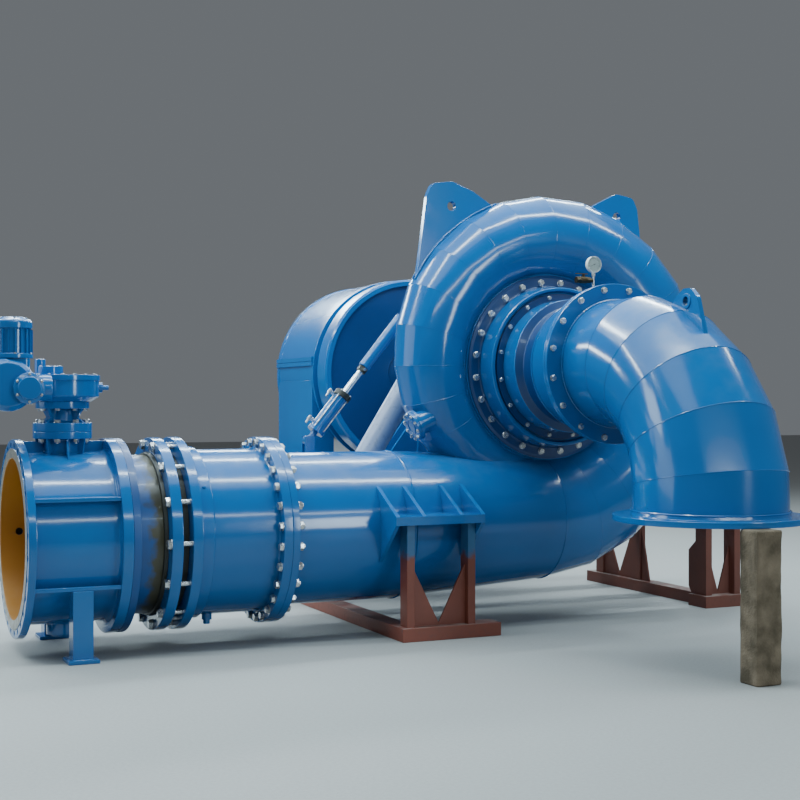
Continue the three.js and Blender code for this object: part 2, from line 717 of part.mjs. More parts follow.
/** Regulating ring, servomotor and its link, in the plane of the ring. */
function regulatingGear(turbine) {
  const slope = THREE.MathUtils.degToRad(LINK_SLOPE);
  const along = [Math.cos(slope), Math.sin(slope)];
  const pin = [-RING_PIN_RADIUS * along[1], RING_PIN_RADIUS * along[0]];
  const at = (distance, y = RING_Y) => [
    pin[0] - (SERVO_LENGTH - distance) * along[0],
    y,
    pin[1] - (SERVO_LENGTH - distance) * along[1],
  ];

  const cheek = (from, to) => {
    const base = [pin[0] * 0.8, pin[1] * 0.8];
    const side = [along[0] * 90, along[1] * 90];
    const nose = [along[0] * 42, along[1] * 42];
    const tip = [pin[0] * 1.05, pin[1] * 1.05];
    return slab(
      "y",
      [
        [base[0] - side[0], base[1] - side[1]],
        [tip[0] - nose[0], tip[1] - nose[1]],
        [tip[0] + nose[0], tip[1] + nose[1]],
        [base[0] + side[0], base[1] + side[1]],
      ],
      from,
      to,
    );
  };
  const ringBody = join(
    ring("y", RING_OUTER, RING_INNER, RING_Y - RING_HALF, RING_Y + RING_HALF),
    cut(cheek(RING_Y - 34, RING_Y - 18), disc("y", 560, 700, 800, LARGE)),
    cut(cheek(RING_Y + 18, RING_Y + 34), disc("y", 560, 700, 800, LARGE)),
    bar([pin[0], RING_Y - 50, pin[1]], [pin[0], RING_Y + 50, pin[1]], 14, SMALL),
  );
  piece(turbine, "regulating_ring", ringBody, BLUE);

  const boreOf = (from, to, radius) => bar(at(from), at(to), radius, MEDIUM);
  const cylinder = join(
    boreOf(75, 400, 50),
    boreOf(75, 105, 62),
    boreOf(370, 410, 62),
    bar(at(0, RING_Y - 22), at(0, RING_Y + 22), 36, MEDIUM),
    boreOf(0, 80, 21),
  );
  const pivot = bar(at(0, RING_Y - 60), at(0, RING_Y + 60), 18 + GAP, MEDIUM);
  piece(turbine, "servo_cylinder", cut(cylinder, boreOf(100, 420, 22 + GAP), pivot), BLUE);

  piece(turbine, "servo_rod", boreOf(230, 600, 22), STEEL);
  const link = join(
    boreOf(600 + GAP, 640, 34),
    boreOf(640, SERVO_LENGTH - 90, 40),
    boreOf(SERVO_LENGTH - 100, SERVO_LENGTH - 20, 13),
    bar(at(SERVO_LENGTH, RING_Y - 13), at(SERVO_LENGTH, RING_Y + 13), 46, MEDIUM),
    bar(at(620, RING_Y - 60), at(620, RING_Y + 60), 10, SMALL),
  );
  const eye = bar(at(SERVO_LENGTH, RING_Y - 30), at(SERVO_LENGTH, RING_Y + 30), 26, MEDIUM);
  piece(turbine, "servo_link", cut(link, eye), BLUE);

  const [footX, , footZ] = at(0);
  const standBottom = BEAM_BOTTOM + GAP - SHAFT_HEIGHT;
  const stand = join(
    block([footX - 70, footX + 70], [RING_Y - 70, RING_Y + 70], [standBottom, footZ - 95]),
    block([footX - 34, footX + 34], [RING_Y - 40, RING_Y - 22 - GAP], [footZ - 100, footZ + 30]),
    block([footX - 34, footX + 34], [RING_Y + 22 + GAP, RING_Y + 40], [footZ - 100, footZ + 30]),
    bar(at(0, RING_Y - 40), at(0, RING_Y + 40), 18, MEDIUM),
  );
  piece(turbine, "servo_stand", stand, BLUE);
}

/** Relief pipe from the head cover down behind the inlet pipe. */
function balancePipe(turbine) {
  const y = 560;
  const low = [-1323, y, -1150];
  const high = [-590, y, 18];
  const inner = [-430, y, 75];
  const outside = mitredPipe([low, high, inner], 85);
  const flange = bar(low, [-1307, y, -1124.6], 110, MEDIUM);
  const bore = mitredPipe([[-1328.3, y, -1158.5], high, [-420, y, 78.6]], 77);
  const hub = disc("y", 440 + GAP, 300, 690, LARGE);
  piece(turbine, "balance_pipe", cut(join(outside, flange), bore, hub), BLUE);
}

/** Shaft, pedestal bearing and generator drum. */
function generator(turbine) {
  const bedTop = BEAM_TOP - SHAFT_HEIGHT;
  piece(turbine, "shaft", disc("y", SHAFT, STAY_HALF + 20, DRUM_FRONT - GAP, MEDIUM), STEEL);

  const bearing = join(
    disc("y", 230, 1180, 1480, MEDIUM),
    block([-300, 300], [1170, 1490], [bedTop + 40, -40]),
    block([-740, 740], [1150, 1510], [bedTop + GAP, bedTop + 45]),
  );
  const shaftRoom = disc("y", SHAFT + 2 * GAP, 1100, 1550, MEDIUM);
  piece(turbine, "bearing_pedestal", cut(bearing, shaftRoom), BLUE);

  const lip = ring("y", DRUM_LIP, DRUM_FACE + GAP, DRUM_FRONT - 25, DRUM_LIP_END);
  piece(turbine, "drum_lip", lip, BLUE);
  piece(turbine, "drum_face", disc("y", DRUM_FACE, DRUM_FRONT, DRUM_LIP_END, LARGE), DARK_BLUE);
  const shell = join(
    disc("y", 705, DRUM_LIP_END + GAP, DRUM_GROOVE_END, LARGE),
    disc("y", DRUM, DRUM_GROOVE_END, DRUM_END, LARGE),
    block([-765, 765], [DRUM_GROOVE_END + 10, DRUM_END - 10], [60, 130]),
  );
  piece(turbine, "drum_shell", shell, BLUE);
  const drumRound = disc("y", DRUM + GAP, 2000, 3100, LARGE);
  for (const [name, side] of [["drum_foot_left", -1], ["drum_foot_right", 1]]) {
    const across = (a, b) => [side * a, side * b].sort((p, q) => p - q);
    const foot = join(
      block(across(560, 745), [2200, 2990], [bedTop + GAP, 0]),
      block(across(540, 800), [2180, 3010], [bedTop + GAP, bedTop + 40]),
    );
    piece(turbine, name, cut(foot, drumRound), BLUE);
  }
}

/** Feet of the case: a shelf with webs against the pipe, and one against the case. */
function caseFeet(floor) {
  const pipeRound = disc("x", PIPE + GAP, 2000, PIPE_END, LARGE).translate([0, 0, PIPE_AXIS_HEIGHT]);
  const start = PIPE_END - SHAFT_X;
  const taperRound = taperBody(GAP, start - 1, 0).translate([SHAFT_X, 0, SHAFT_HEIGHT]);
  const webs = [2060, 2230, 2475].map((x) =>
    slab("x", [[-380, 905], [-680, FOOT_TOP], [-680, FOOT_BOTTOM], [-300, FOOT_BOTTOM]], x, x + 24),
  );
  const endOutline = [[-380, 905], [-680, FOOT_TOP], [-680, FOOT_BOTTOM], [-425, 455], [-300, 600]];
  const endWeb = slab("x", endOutline, 2616, 2640);
  const cheekOutline = [[-680, FOOT_BOTTOM + 5], [-425, 455], [-300, 600], [-300, FOOT_BOTTOM + 5]];
  const cheek = slab("x", cheekOutline, 2060, 2084);
  const shelf = block([2060, 2640], [-680, -400], [FOOT_BOTTOM, FOOT_TOP]);
  const left = cut(join(shelf, cheek, endWeb, ...webs), pipeRound, taperRound);
  piece(floor, "case_foot_left", largest(left), BLUE);

  const caseRound = join(caseBody(GAP, caseSeat()), taperBody(GAP, start, 0)).translate([
    SHAFT_X,
    0,
    SHAFT_HEIGHT,
  ]);
  const sole = [[4250, FOOT_BOTTOM], [4900, FOOT_BOTTOM], [4900, FOOT_TOP]];
  const outline = [...sole, [4620, 1130], [4300, 1130]];
  const right = join(
    block([4250, 4900], [-230, 230], [FOOT_BOTTOM, FOOT_TOP]),
    slab("y", outline, -220, -196),
    slab("y", outline, 196, 220),
  );
  piece(floor, "case_foot_right", largest(cut(right, caseRound)), BLUE);
}

/** A post of the trestles between two heights, with the corner nearest the valve given. */
function post(x, y, deep, top) {
  return block([x, x + POST], [y, y + deep], [RAIL_TOP - 5, top]);
}

/** Two corner plates that leave a V between two posts, upright and across the axis given. */
function cornerPlates(axis, start, end, at, top) {
  const middle = (start + end) / 2;
  const low = RAIL_TOP - 5;
  const plates = [start, end].map((post) =>
    slab(axis, [[post, top], [post, low], [middle, low], [middle, low + 20]], at, at + 14),
  );
  return join(...plates);
}

function trestles(floor) {
  const underShelf = FOOT_BOTTOM - GAP;
  const underCross = CROSS_BOTTOM - GAP;
  const left = join(
    block([2130, 2250], [-620, RAIL_END], [0, RAIL_TOP]),
    block([2130, 2780], [-620, -480], [0, RAIL_TOP]),
    block([2540, 2660], [-620, -300], [0, RAIL_TOP]),
    post(2165, -600, 100, underShelf),
    post(2565, -600, 100, underShelf),
    cornerPlates("y", 2200, 2580, -560, 470),
    post(2165, 700, 100, underCross),
    post(2165, 1200, 100, underCross),
    cornerPlates("x", 795, 1205, 2180, 500),
  );
  piece(floor, "trestle_left", left, PRIMER);

  const right = join(
    block([4570, 4910], [-240, -40], [0, RAIL_TOP]),
    block([4640, 4760], [-240, RAIL_END], [0, RAIL_TOP]),
    post(4600, -200, 120, underShelf),
    post(4840, -200, 120, underShelf),
    cornerPlates("y", 4635, 4855, -140, 470),
    slab("x", [[-85, 450], [-85, RAIL_TOP - 5], [-40, RAIL_TOP - 5], [0, 130], [0, 380]], 4600, 4614),
    post(4670, 700, 100, underCross),
    slab("x", [[705, 490], [705, RAIL_TOP - 5], [600, RAIL_TOP - 5]], 4685, 4699),
    post(4670, 1200, 100, underCross),
    cornerPlates("x", 795, 1205, 4685, 500),
  );
  piece(floor, "trestle_right", right, PRIMER);

  const rear = [];
  for (const x of [SHAFT_X - BEAM_OFFSET, SHAFT_X + BEAM_OFFSET]) {
    rear.push(block([x - 60, x + 60], [2790, 2910], [RAIL_TOP - 5, underCross]));
  }
  const sill = block([SHAFT_X - 900, SHAFT_X + 900], [2770, 2930], [0, RAIL_TOP]);
  piece(floor, "trestle_rear", join(sill, ...rear), PRIMER);
}

/** Bed of two long beams on three cross beams behind the case. */
function bed(floor) {
  const beams = [-1, 1].map((side) => {
    const x = SHAFT_X + side * BEAM_OFFSET;
    return block([x - 80, x + 80], [900, 3050], [BEAM_BOTTOM - 5, BEAM_TOP]);
  });
  const cross = [
    block([1960, 4900], [680, 820], [CROSS_BOTTOM, BEAM_BOTTOM]),
    block([2100, 4900], [1180, 1320], [CROSS_BOTTOM, BEAM_BOTTOM]),
    block([SHAFT_X - 800, SHAFT_X + 800], [2780, 2920], [CROSS_BOTTOM, BEAM_BOTTOM]),
  ];
  const ties = [-1, 1].map((side) => {
    const x = SHAFT_X + side * BEAM_OFFSET;
    return block([x - 80, x + 80], [680, 910], [CROSS_BOTTOM, BEAM_BOTTOM]);
  });
  const heads = [-1, 1].map((side) => {
    const x = SHAFT_X + side * BEAM_OFFSET;
    return block([x - 80, x + 80], [890, 1000], [CROSS_BOTTOM, BEAM_BOTTOM + 5]);
  });
  piece(floor, "bed_frame", join(...beams, ...cross, ...ties, ...heads), DARK_BLUE);
}

function pillar(floor) {
  const top = SHAFT_HEIGHT - ELBOW_FOOT - GAP;
  piece(floor, "concrete_pillar", block([3190, 3360], [-2490, -2340], [0, top]), CONCRETE);
}

const unit = new THREE.Group();
const line = new THREE.Group();
const turbine = new THREE.Group();
const floor = new THREE.Group();
line.position.set(0, 0, PIPE_AXIS_HEIGHT);
turbine.position.set(SHAFT_X, 0, SHAFT_HEIGHT);
unit.add(line, turbine, floor);

valve(line);
dismantlingJoint(line);
inletPipe(line);
spiralCase(turbine);
covers(turbine);
elbow(turbine);
gauge(turbine);
regulatingGear(turbine);
balancePipe(turbine);
generator(turbine);
caseFeet(floor);
trestles(floor);
bed(floor);
pillar(floor);

// The part's origin is the middle of its footprint, on the floor.
const box = new THREE.Box3().setFromObject(unit);
unit.position.set(-(box.min.x + box.max.x) / 2, -(box.min.y + box.max.y) / 2, 0);

const part = new THREE.Group();
part.add(unit);

export default part;
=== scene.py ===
"""Horizontal water turbine unit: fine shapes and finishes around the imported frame.

Each sub-assembly is a class. It holds its sizes in metres as fields, builds its meshes in the
frame of the part and dresses them. Two origins come from the frame: the open face of the valve
on the pipe axis, and the middle of the stay ring on the shaft.
"""

import logging
import math
from collections.abc import Callable, Sequence
from dataclasses import dataclass, field
from enum import Enum

import bmesh
import bpy
from mathutils import Matrix, Vector, noise


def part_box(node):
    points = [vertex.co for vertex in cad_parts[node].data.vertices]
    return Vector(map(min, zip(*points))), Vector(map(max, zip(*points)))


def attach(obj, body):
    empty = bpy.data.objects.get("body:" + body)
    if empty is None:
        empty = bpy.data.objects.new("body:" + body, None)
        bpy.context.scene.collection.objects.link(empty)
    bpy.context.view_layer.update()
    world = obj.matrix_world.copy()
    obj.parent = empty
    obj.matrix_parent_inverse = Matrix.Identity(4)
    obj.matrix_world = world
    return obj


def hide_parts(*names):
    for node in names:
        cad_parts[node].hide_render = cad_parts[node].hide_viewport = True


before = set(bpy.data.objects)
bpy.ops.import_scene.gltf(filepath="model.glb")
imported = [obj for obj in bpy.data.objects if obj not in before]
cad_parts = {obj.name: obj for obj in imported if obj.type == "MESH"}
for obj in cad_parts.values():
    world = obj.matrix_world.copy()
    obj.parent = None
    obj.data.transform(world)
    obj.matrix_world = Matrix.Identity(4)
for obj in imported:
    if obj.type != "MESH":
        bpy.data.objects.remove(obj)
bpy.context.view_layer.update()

LOG = logging.getLogger("turbine_unit")

Colour = tuple[float, float, float, float]
Outline = list[tuple[float, float]]
Socket = bpy.types.NodeSocket
Inputs = bpy.types.NodeInputs
Tree = bpy.types.NodeTree


def middle(node: str) -> Vector:
    """Middle of a node's box.

    Args:
        node: name of the node in the frame.

    Returns:
        The middle point, in metres.
    """
    low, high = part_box(node)
    return (low + high) / 2


PIPE_MIDDLE = middle("inlet_pipe")
LINE = Vector((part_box("valve_body")[0].x, PIPE_MIDDLE.y, PIPE_MIDDLE.z))
TURBINE = middle("stay_ring")

# Radii of the inlet line and the bolts of its flanges, in metres
BORE = 0.45
PIPE = 0.46
FLANGE = 0.5575
BOLT_CIRCLE = 0.525
FLANGE_BOLTS = 28
FLANGE_BOLT = 0.027

CASE_NODES = ["case_lower_right", "case_upper_right", "case_upper_left", "case_lower_left"]
ELBOW_NODES = ["draft_elbow_upper", "draft_elbow_lower"]

UP = Vector((0, 0, 1))
DOWN = Vector((0, 0, -1))
LEFT = Vector((-1, 0, 0))
RIGHT = Vector((1, 0, 0))
FRONT = Vector((0, -1, 0))
BACK = Vector((0, 1, 0))
HALF_TURN = Matrix.Rotation(math.pi, 4, "X")


class Axis(Enum):
    """Directions that round pieces turn about, as rotations of the local Z axis."""

    LINE = ((0, 0, 1), (1, 0, 0), (0, 1, 0))
    SHAFT = ((1, 0, 0), (0, 0, -1), (0, 1, 0))


def along_line(x: float = 0.0) -> Matrix:
    """Place on the inlet line, x metres from the valve's open face, local Z downstream."""
    return Matrix.Translation(LINE + Vector((x, 0, 0))) @ Matrix(Axis.LINE.value).to_4x4()


def along_shaft(front: float = 0.0) -> Matrix:
    """Place on the shaft, front metres from the stay ring's middle, local Z towards the elbow."""
    return Matrix.Translation(TURBINE - Vector((0, front, 0))) @ Matrix(Axis.SHAFT.value).to_4x4()


def aim(origin: Vector, direction: Vector) -> Matrix:
    """A place whose local Z axis points in a direction.

    Args:
        origin: the place's origin, in metres.
        direction: the direction of its local Z axis.

    Returns:
        The place as a matrix.
    """
    turn = direction.normalized().to_track_quat("Z", "Y")
    return Matrix.Translation(origin) @ turn.to_matrix().to_4x4()


def raised(place: Matrix, along: float) -> Matrix:
    """A place moved along its own local Z axis."""
    return place @ Matrix.Translation((0, 0, along))


def fin(place: Matrix, angle: float) -> Matrix:
    """A plane through a place's local Z axis: local X points outwards, local Y along the axis."""
    return place @ (Matrix.Rotation(angle, 4, "Z") @ Matrix.Rotation(math.pi / 2, 4, "X"))


def on_circle(radius: float, angle: float) -> Matrix:
    """The move from a local Z axis to a point of a circle about it."""
    return Matrix.Translation((radius * math.cos(angle), radius * math.sin(angle), 0))


def even_turns(count: int) -> list[float]:
    """Angles set evenly round a full turn, in radians."""
    return [2 * math.pi * i / count for i in range(count)]


def span(side: int, near: float, far: float) -> list[float]:
    """The lower and the higher of two distances, taken on one side of a middle plane."""
    return sorted((side * near, side * far))


@dataclass
class Shape:
    """Closed surfaces of one piece.

    Attributes:
        points: vertices, in metres.
        faces: vertex numbers of each face.
        paints: number of each face's finish.
    """

    points: list[Vector] = field(default_factory=list)
    faces: list[tuple[int, ...]] = field(default_factory=list)
    paints: list[int] = field(default_factory=list)

    def take(self, *others: "Shape") -> "Shape":
        """Adds other shapes with their finishes.

        Args:
            others: the shapes to add.

        Returns:
            This shape.
        """
        for other in others:
            first = len(self.points)
            self.points.extend(other.points)
            self.faces.extend(tuple(first + i for i in face) for face in other.faces)
            self.paints.extend(other.paints)
        return self

    def placed(self, place: Matrix) -> "Shape":
        """A copy moved from local axes to a place."""
        return Shape([place @ point for point in self.points], list(self.faces), list(self.paints))

    def painted(self, paint: int, where: Callable[[Vector], bool] = lambda _: True) -> "Shape":
        """Gives the faces whose middle passes a test another finish.

        Args:
            paint: number of the finish.
            where: test of a face's middle point.

        Returns:
            This shape.
        """
        for i, face in enumerate(self.faces):
            centre = sum((self.points[j] for j in face), Vector()) / len(face)
            if where(centre):
                self.paints[i] = paint
        return self


def surface(points: list[Vector], faces: list[tuple[int, ...]]) -> Shape:
    """A shape from vertices and the faces between them, all in the first finish."""
    return Shape(points, faces, [0] * len(faces))


# Usual radius of a corner, the most of a side that it takes, and the shortest side that has one
EDGE = 0.003
SIDE_SHARE = 0.48
SHORTEST = 1e-6


def rounded(outline: Sequence[tuple[float, ...]], radius: float = EDGE, steps: int = 3) -> Outline:
    """A closed outline with its corners rounded.

    Args:
        outline: corners as (u, v), or (u, v, radius) where a corner has its own radius.
        radius: radius of the other corners.
        steps: number of flats in each corner.

    Returns:
        The points of the rounded outline.
    """
    corners = [Vector(corner[:2]) for corner in outline]
    result: Outline = []
    for i, corner in enumerate(corners):
        size = outline[i][2] if len(outline[i]) > 2 else radius
        before = corners[i - 1] - corner
        after = corners[(i + 1) % len(corners)] - corner
        shorter = min(before.length, after.length)
        if size <= 0 or shorter < SHORTEST:
            result.append((corner.x, corner.y))
            continue
        half = max(before.angle(after) / 2, 0.05)
        straight = half >= math.pi / 2 - 0.01
        reach = 0.0 if straight else min(size / math.tan(half), shorter * SIDE_SHARE)
        if reach < SHORTEST:
            result.append((corner.x, corner.y))
            continue
        start = corner + before.normalized() * reach
        end = corner + after.normalized() * reach
        for k in range(steps + 1):
            share = k / steps
            point = start * (1 - share) ** 2 + corner * 2 * share * (1 - share) + end * share**2
            result.append((point.x, point.y))
    return result


def turned(profile: Sequence[tuple[float, float]], place: Matrix, sides: int = 128) -> Shape:
    """A closed profile turned about the local Z axis.

    Args:
        profile: points as (radius, along).
        place: where the axis lies.
        sides: number of steps round the axis.

    Returns:
        The turned shape.
    """
    count = len(profile)
    points: list[Vector] = []
    for turn in even_turns(sides):
        points.extend(place @ Vector((r * math.cos(turn), r * math.sin(turn), a)) for r, a in profile)
    faces = []
    for k in range(sides):
        here = k * count
        there = ((k + 1) % sides) * count
        for i in range(count):
            j = (i + 1) % count
            faces.append((here + i, there + i, there + j, here + j))
    return surface(points, faces)


def ring(place: Matrix, outer: float, inner: float, low: float, high: float, sides: int = 128) -> Shape:
    """A flat ring with softened edges between two heights on the local Z axis."""
    return turned(rounded([(inner, low), (outer, low), (outer, high), (inner, high)]), place, sides)


def rod(
    place: Matrix, radius: float, low: float, high: float, sides: int = 32, edge: float = 0.002
) -> Shape:
    """A round bar on the local Z axis with softened ends."""
    outline = [(0, low, 0), (radius, low), (radius, high), (0, high, 0)]
    return turned(rounded(outline, min(edge, radius * 0.4), 2), place, sides)


def plate(outline: Sequence[tuple[float, float]], place: Matrix, low: float, high: float) -> Shape:
    """A flat outline in the local XY plane, thickened along local Z.

    Args:
        outline: its corners as (x, y).
        place: where the plane lies.
        low: lower face on local Z.
        high: upper face on local Z.

    Returns:
        The plate as a shape.
    """
    count = len(outline)
    points = [place @ Vector((u, v, z)) for z in (low, high) for u, v in outline]
    faces: list[tuple[int, ...]] = [tuple(reversed(range(count))), tuple(range(count, 2 * count))]
    faces += [(i, (i + 1) % count, (i + 1) % count + count, i + count) for i in range(count)]
    return surface(points, faces)


def block(low: Vector, high: Vector) -> Shape:
    """A box between two corners, in the frame of the part."""
    outline = [(low.x, low.y), (high.x, low.y), (high.x, high.y), (low.x, high.y)]
    return plate(outline, Matrix.Identity(4), low.z, high.z)


def loft(loops: Sequence[Sequence[Vector]], closed: bool = False) -> Shape:
    """A skin through a row of loops with the same number of points.

    Args:
        loops: the loops in order.
        closed: true where the last loop joins the first, false where both ends are capped.

    Returns:
        The skin as a shape.
    """
    count = len(loops[0])
    rows = len(loops)
    points = [point for loop in loops for point in loop]
    faces: list[tuple[int, ...]] = []
    for i in range(rows if closed else rows - 1):
        here = i * count
        there = ((i + 1) % rows) * count
        for j in range(count):
            k = (j + 1) % count
            faces.append((here + j, here + k, there + k, there + j))
    if not closed:
        faces.append(tuple(reversed(range(count))))
        faces.append(tuple(range((rows - 1) * count, rows * count)))
    return surface(points, faces)


def shell_loft(outside: Sequence[Sequence[Vector]], inside: Sequence[Sequence[Vector]]) -> Shape:
    """A pipe wall between matching rows of outer and inner loops, with flat ends."""
    rows = [list(loop) for loop in outside] + [list(loop) for loop in reversed(inside)]
    return loft(rows, closed=True)


def sweep(path: Sequence[Vector], radii: Sequence[float], sides: int, closed: bool = False) -> Shape:
    """A round section swept along a path, with a radius at each point.

    Args:
        path: points of the centreline.
        radii: radius at each point.
        sides: number of sides of the section.
        closed: true where the path's end meets its start.

    Returns:
        The swept shape.
    """
    count = len(path)
    loops = []
    side = Vector()
    for i, point in enumerate(path):
        ahead = path[(i + 1) % count] if closed or i + 1 < count else point
        behind = path[i - 1] if closed or i > 0 else point
        forward = (ahead - behind).normalized()
        if i == 0:
            side = forward.orthogonal().normalized()
        side = (side - forward * side.dot(forward)).normalized()
        up = forward.cross(side)
        loops.append([point + (side * math.cos(t) + up * math.sin(t)) * radii[i] for t in even_turns(sides)])
    return loft(loops, closed)


# Length of a weld's ripples in metres, and their height as a share of the bead
WELD_STEP = 0.012
WELD_RIPPLE = 0.12


def weld(path: Sequence[Vector], radius: float = 0.006, closed: bool = True) -> Shape:
    """A rippled weld bead along a path.

    Args:
        path: points of the seam.
        radius: size of the bead.
        closed: true where the seam runs right round.

    Returns:
        The bead as a closed shape.
    """
    points: list[Vector] = []
    count = len(path)
    for i in range(count if closed else count - 1):
        start = path[i]
        end = path[(i + 1) % count]
        steps = max(1, round((end - start).length / WELD_STEP))
        points.extend(start.lerp(end, k / steps) for k in range(steps))
    if not closed:
        points.append(path[-1])
    radii = [radius * (1 + (WELD_RIPPLE if i % 2 else -WELD_RIPPLE)) for i in range(len(points))]
    return sweep(points, radii, 6, closed)


def circle(place: Matrix, radius: float, along: float, count: int = 120) -> list[Vector]:
    """Points of a circle about the local Z axis."""
    return [place @ Vector((radius * math.cos(t), radius * math.sin(t), along)) for t in even_turns(count)]


def ring_weld(place: Matrix, radius: float, along: float, size: float = 0.006) -> Shape:
    """A weld bead on a circle about the local Z axis."""
    return weld(circle(place, radius, along), size)


def saddle(drum: float, branch: float, count: int = 96) -> list[Vector]:
    """Where a round branch along local Z meets a drum whose axis is local X.

    Args:
        drum: radius of the drum.
        branch: radius of the branch.
        count: number of points.

    Returns:
        The points of the curve.
    """
    result = []
    for turn in even_turns(count):
        across = branch * math.sin(turn)
        result.append(Vector((branch * math.cos(turn), across, math.sqrt(drum**2 - across**2))))
    return result


def drilled(shape: Shape, tools: Shape) -> Shape:
    """A shape with others cut out of it.

    Args:
        shape: closed shape to cut.
        tools: closed shapes that are cut away.

    Returns:
        The cut shape, all in its first finish.
    """
    base = mesh_object("cut_base", shape)
    tool = mesh_object("cut_tool", tools)
    change = base.modifiers.new("cut", "BOOLEAN")
    change.operation = "DIFFERENCE"
    change.solver = "EXACT"
    change.use_self = True
    change.object = tool
    graph = bpy.context.evaluated_depsgraph_get()
    mesh = base.evaluated_get(graph).to_mesh()
    points = [vertex.co.copy() for vertex in mesh.vertices]
    faces = [tuple(polygon.vertices) for polygon in mesh.polygons]
    base.evaluated_get(graph).to_mesh_clear()
    for scrap in (base, tool):
        bpy.data.objects.remove(scrap)
    return surface(points, faces)


MERGE = 2e-6


def linked(name: str, data: bpy.types.ID) -> bpy.types.Object:
    """A new object in the scene that shows the data."""
    made = bpy.data.objects.new(name, data)
    bpy.context.scene.collection.objects.link(made)
    return made


def mesh_object(name: str, shape: Shape) -> bpy.types.Object:
    """An object from a shape, with doubled vertices merged and faces turned outwards.

    Args:
        name: name of the object and its mesh.
        shape: its surfaces.

    Returns:
        The new object.
    """
    mesh = bpy.data.meshes.new(name)
    mesh.from_pydata([tuple(point) for point in shape.points], [], shape.faces)
    mesh.polygons.foreach_set("material_index", shape.paints)
    work = bmesh.new()
    work.from_mesh(mesh)
    bmesh.ops.remove_doubles(work, verts=work.verts, dist=MERGE)
    bmesh.ops.recalc_face_normals(work, faces=work.faces)
    work.to_mesh(mesh)
    work.free()
    return linked(name, mesh)


class Wiring:
    """Adds nodes to one node tree and joins their sockets."""

    def __init__(self, tree: Tree) -> None:
        """Works on a tree.

        Args:
            tree: the node tree that gets the nodes.
        """
        self.tree = tree

    def feed(self, socket: Socket, value: object) -> None:
        """Links a socket to another, or sets its own value.

        Args:
            socket: the socket that is fed.
            value: a source socket, or a plain value.
        """
        if isinstance(value, Socket):
            self.tree.links.new(value, socket)
        else:
            socket.default_value = value

    def node(self, kind: str, values: dict[str, object] | None = None, **settings: object) -> bpy.types.Node:
        """Adds a node.

        Args:
            kind: Blender's type name of the node.
            values: value or source socket of each input by name.
            settings: attributes of the node.

        Returns:
            The new node.
        """
        made = self.tree.nodes.new(kind)
        for name, setting in settings.items():
            setattr(made, name, setting)
        for name, value in (values or {}).items():
            self.feed(made.inputs[name], value)
        return made

    def math(self, operation: str, *values: object) -> Socket:
        """One sum on values or sockets.

        Args:
            operation: Blender's name of the sum.
            values: its terms, as values or sockets.

        Returns:
            The result's socket.
        """
        made = self.node("ShaderNodeMath", operation=operation)
        for socket, value in zip(made.inputs, values):
            self.feed(socket, value)
        return made.outputs[0]

    def blend(self, share: object, first: object, second: object) -> Socket:
        """A colour between two colours.

        Args:
            share: how much of the second colour, as a value or socket.
            first: the first colour or its socket.
            second: the second colour or its socket.

        Returns:
            The colour's socket.
        """
        made = self.node("ShaderNodeMix", data_type="RGBA")
        for number, value in ((0, share), (6, first), (7, second)):
            self.feed(made.inputs[number], value)
        return made.outputs[2]

    def fit(
        self, value: object, low: float, high: float, to_low: float = 0.0, to_high: float = 1.0
    ) -> object:
        """A value mapped from one range to another and held inside it.

        Args:
            value: the value or its socket.
            low: start of its own range.
            high: end of its own range.
            to_low: start of the new range.
            to_high: end of the new range.

        Returns:
            The result's socket.
        """
        made = self.node("ShaderNodeMapRange", clamp=True)
        for socket, given in zip(made.inputs, (value, low, high, to_low, to_high)):
            self.feed(socket, given)
        return made.outputs[0]

    def spots(
        self, scale: object, detail: float = 3.0, stretch: tuple[float, float, float] | None = None
    ) -> object:
        """Noise over the piece's own coordinates.

        Args:
            scale: size of the noise, in cycles a metre.
            detail: number of finer octaves.
            stretch: scale of each axis before the noise, where it isn't even.

        Returns:
            The noise value's socket.
        """
        where = self.node("ShaderNodeTexCoord").outputs["Object"]
        if stretch is not None:
            where = self.node("ShaderNodeMapping", {"Vector": where, "Scale": stretch}).outputs[0]
        made = self.node("ShaderNodeTexNoise", {"Vector": where, "Scale": scale, "Detail": detail})
        return made.outputs["Fac"]

    def effect(self, group: Tree, **values: object) -> Socket:
        """Places a shared effect with its own values.

        Args:
            group: the effect's node group.
            values: value or socket of each input by name.

        Returns:
            The socket of its one output.
        """
        made = self.node("ShaderNodeGroup", node_tree=group)
        for name, value in values.items():
            self.feed(made.inputs[name], value)
        return made.outputs[0]


def shared(
    name: str, inputs: dict[str, float], output: str, wire: Callable[[Wiring, dict[str, object]], object]
) -> Tree:
    """A node group that several materials use, built once.

    Args:
        name: name of the group.
        inputs: named inputs and their first values.
        output: name of the one value it puts out.
        wire: makes the nodes between the inputs and the output.

    Returns:
        The group.
    """
    tree = bpy.data.node_groups.new(name, "ShaderNodeTree")
    for label, value in inputs.items():
        socket = tree.interface.new_socket(name=label, in_out="INPUT", socket_type="NodeSocketFloat")
        socket.default_value = value
    tree.interface.new_socket(name=output, in_out="OUTPUT", socket_type="NodeSocketFloat")
    wiring = Wiring(tree)
    given = wiring.node("NodeGroupInput").outputs
    result = wire(wiring, {label: given[label] for label in inputs})
    wiring.node("NodeGroupOutput", {output: result})
    return tree


def wire_drift(w: Wiring, given: dict[str, object]) -> object:
    """Slow change of tone over a surface, from 0 to 1.

    Args:
        w: wiring of the group.
        given: sockets of its inputs by name.

    Returns:
        The tone's socket.
    """
    slow = w.spots(given["Scale"], 4.0)
    offset = w.math("MULTIPLY", w.math("SUBTRACT", slow, 0.5), given["Contrast"])
    return w.fit(w.math("ADD", offset, 0.5), 0.0, 1.0)


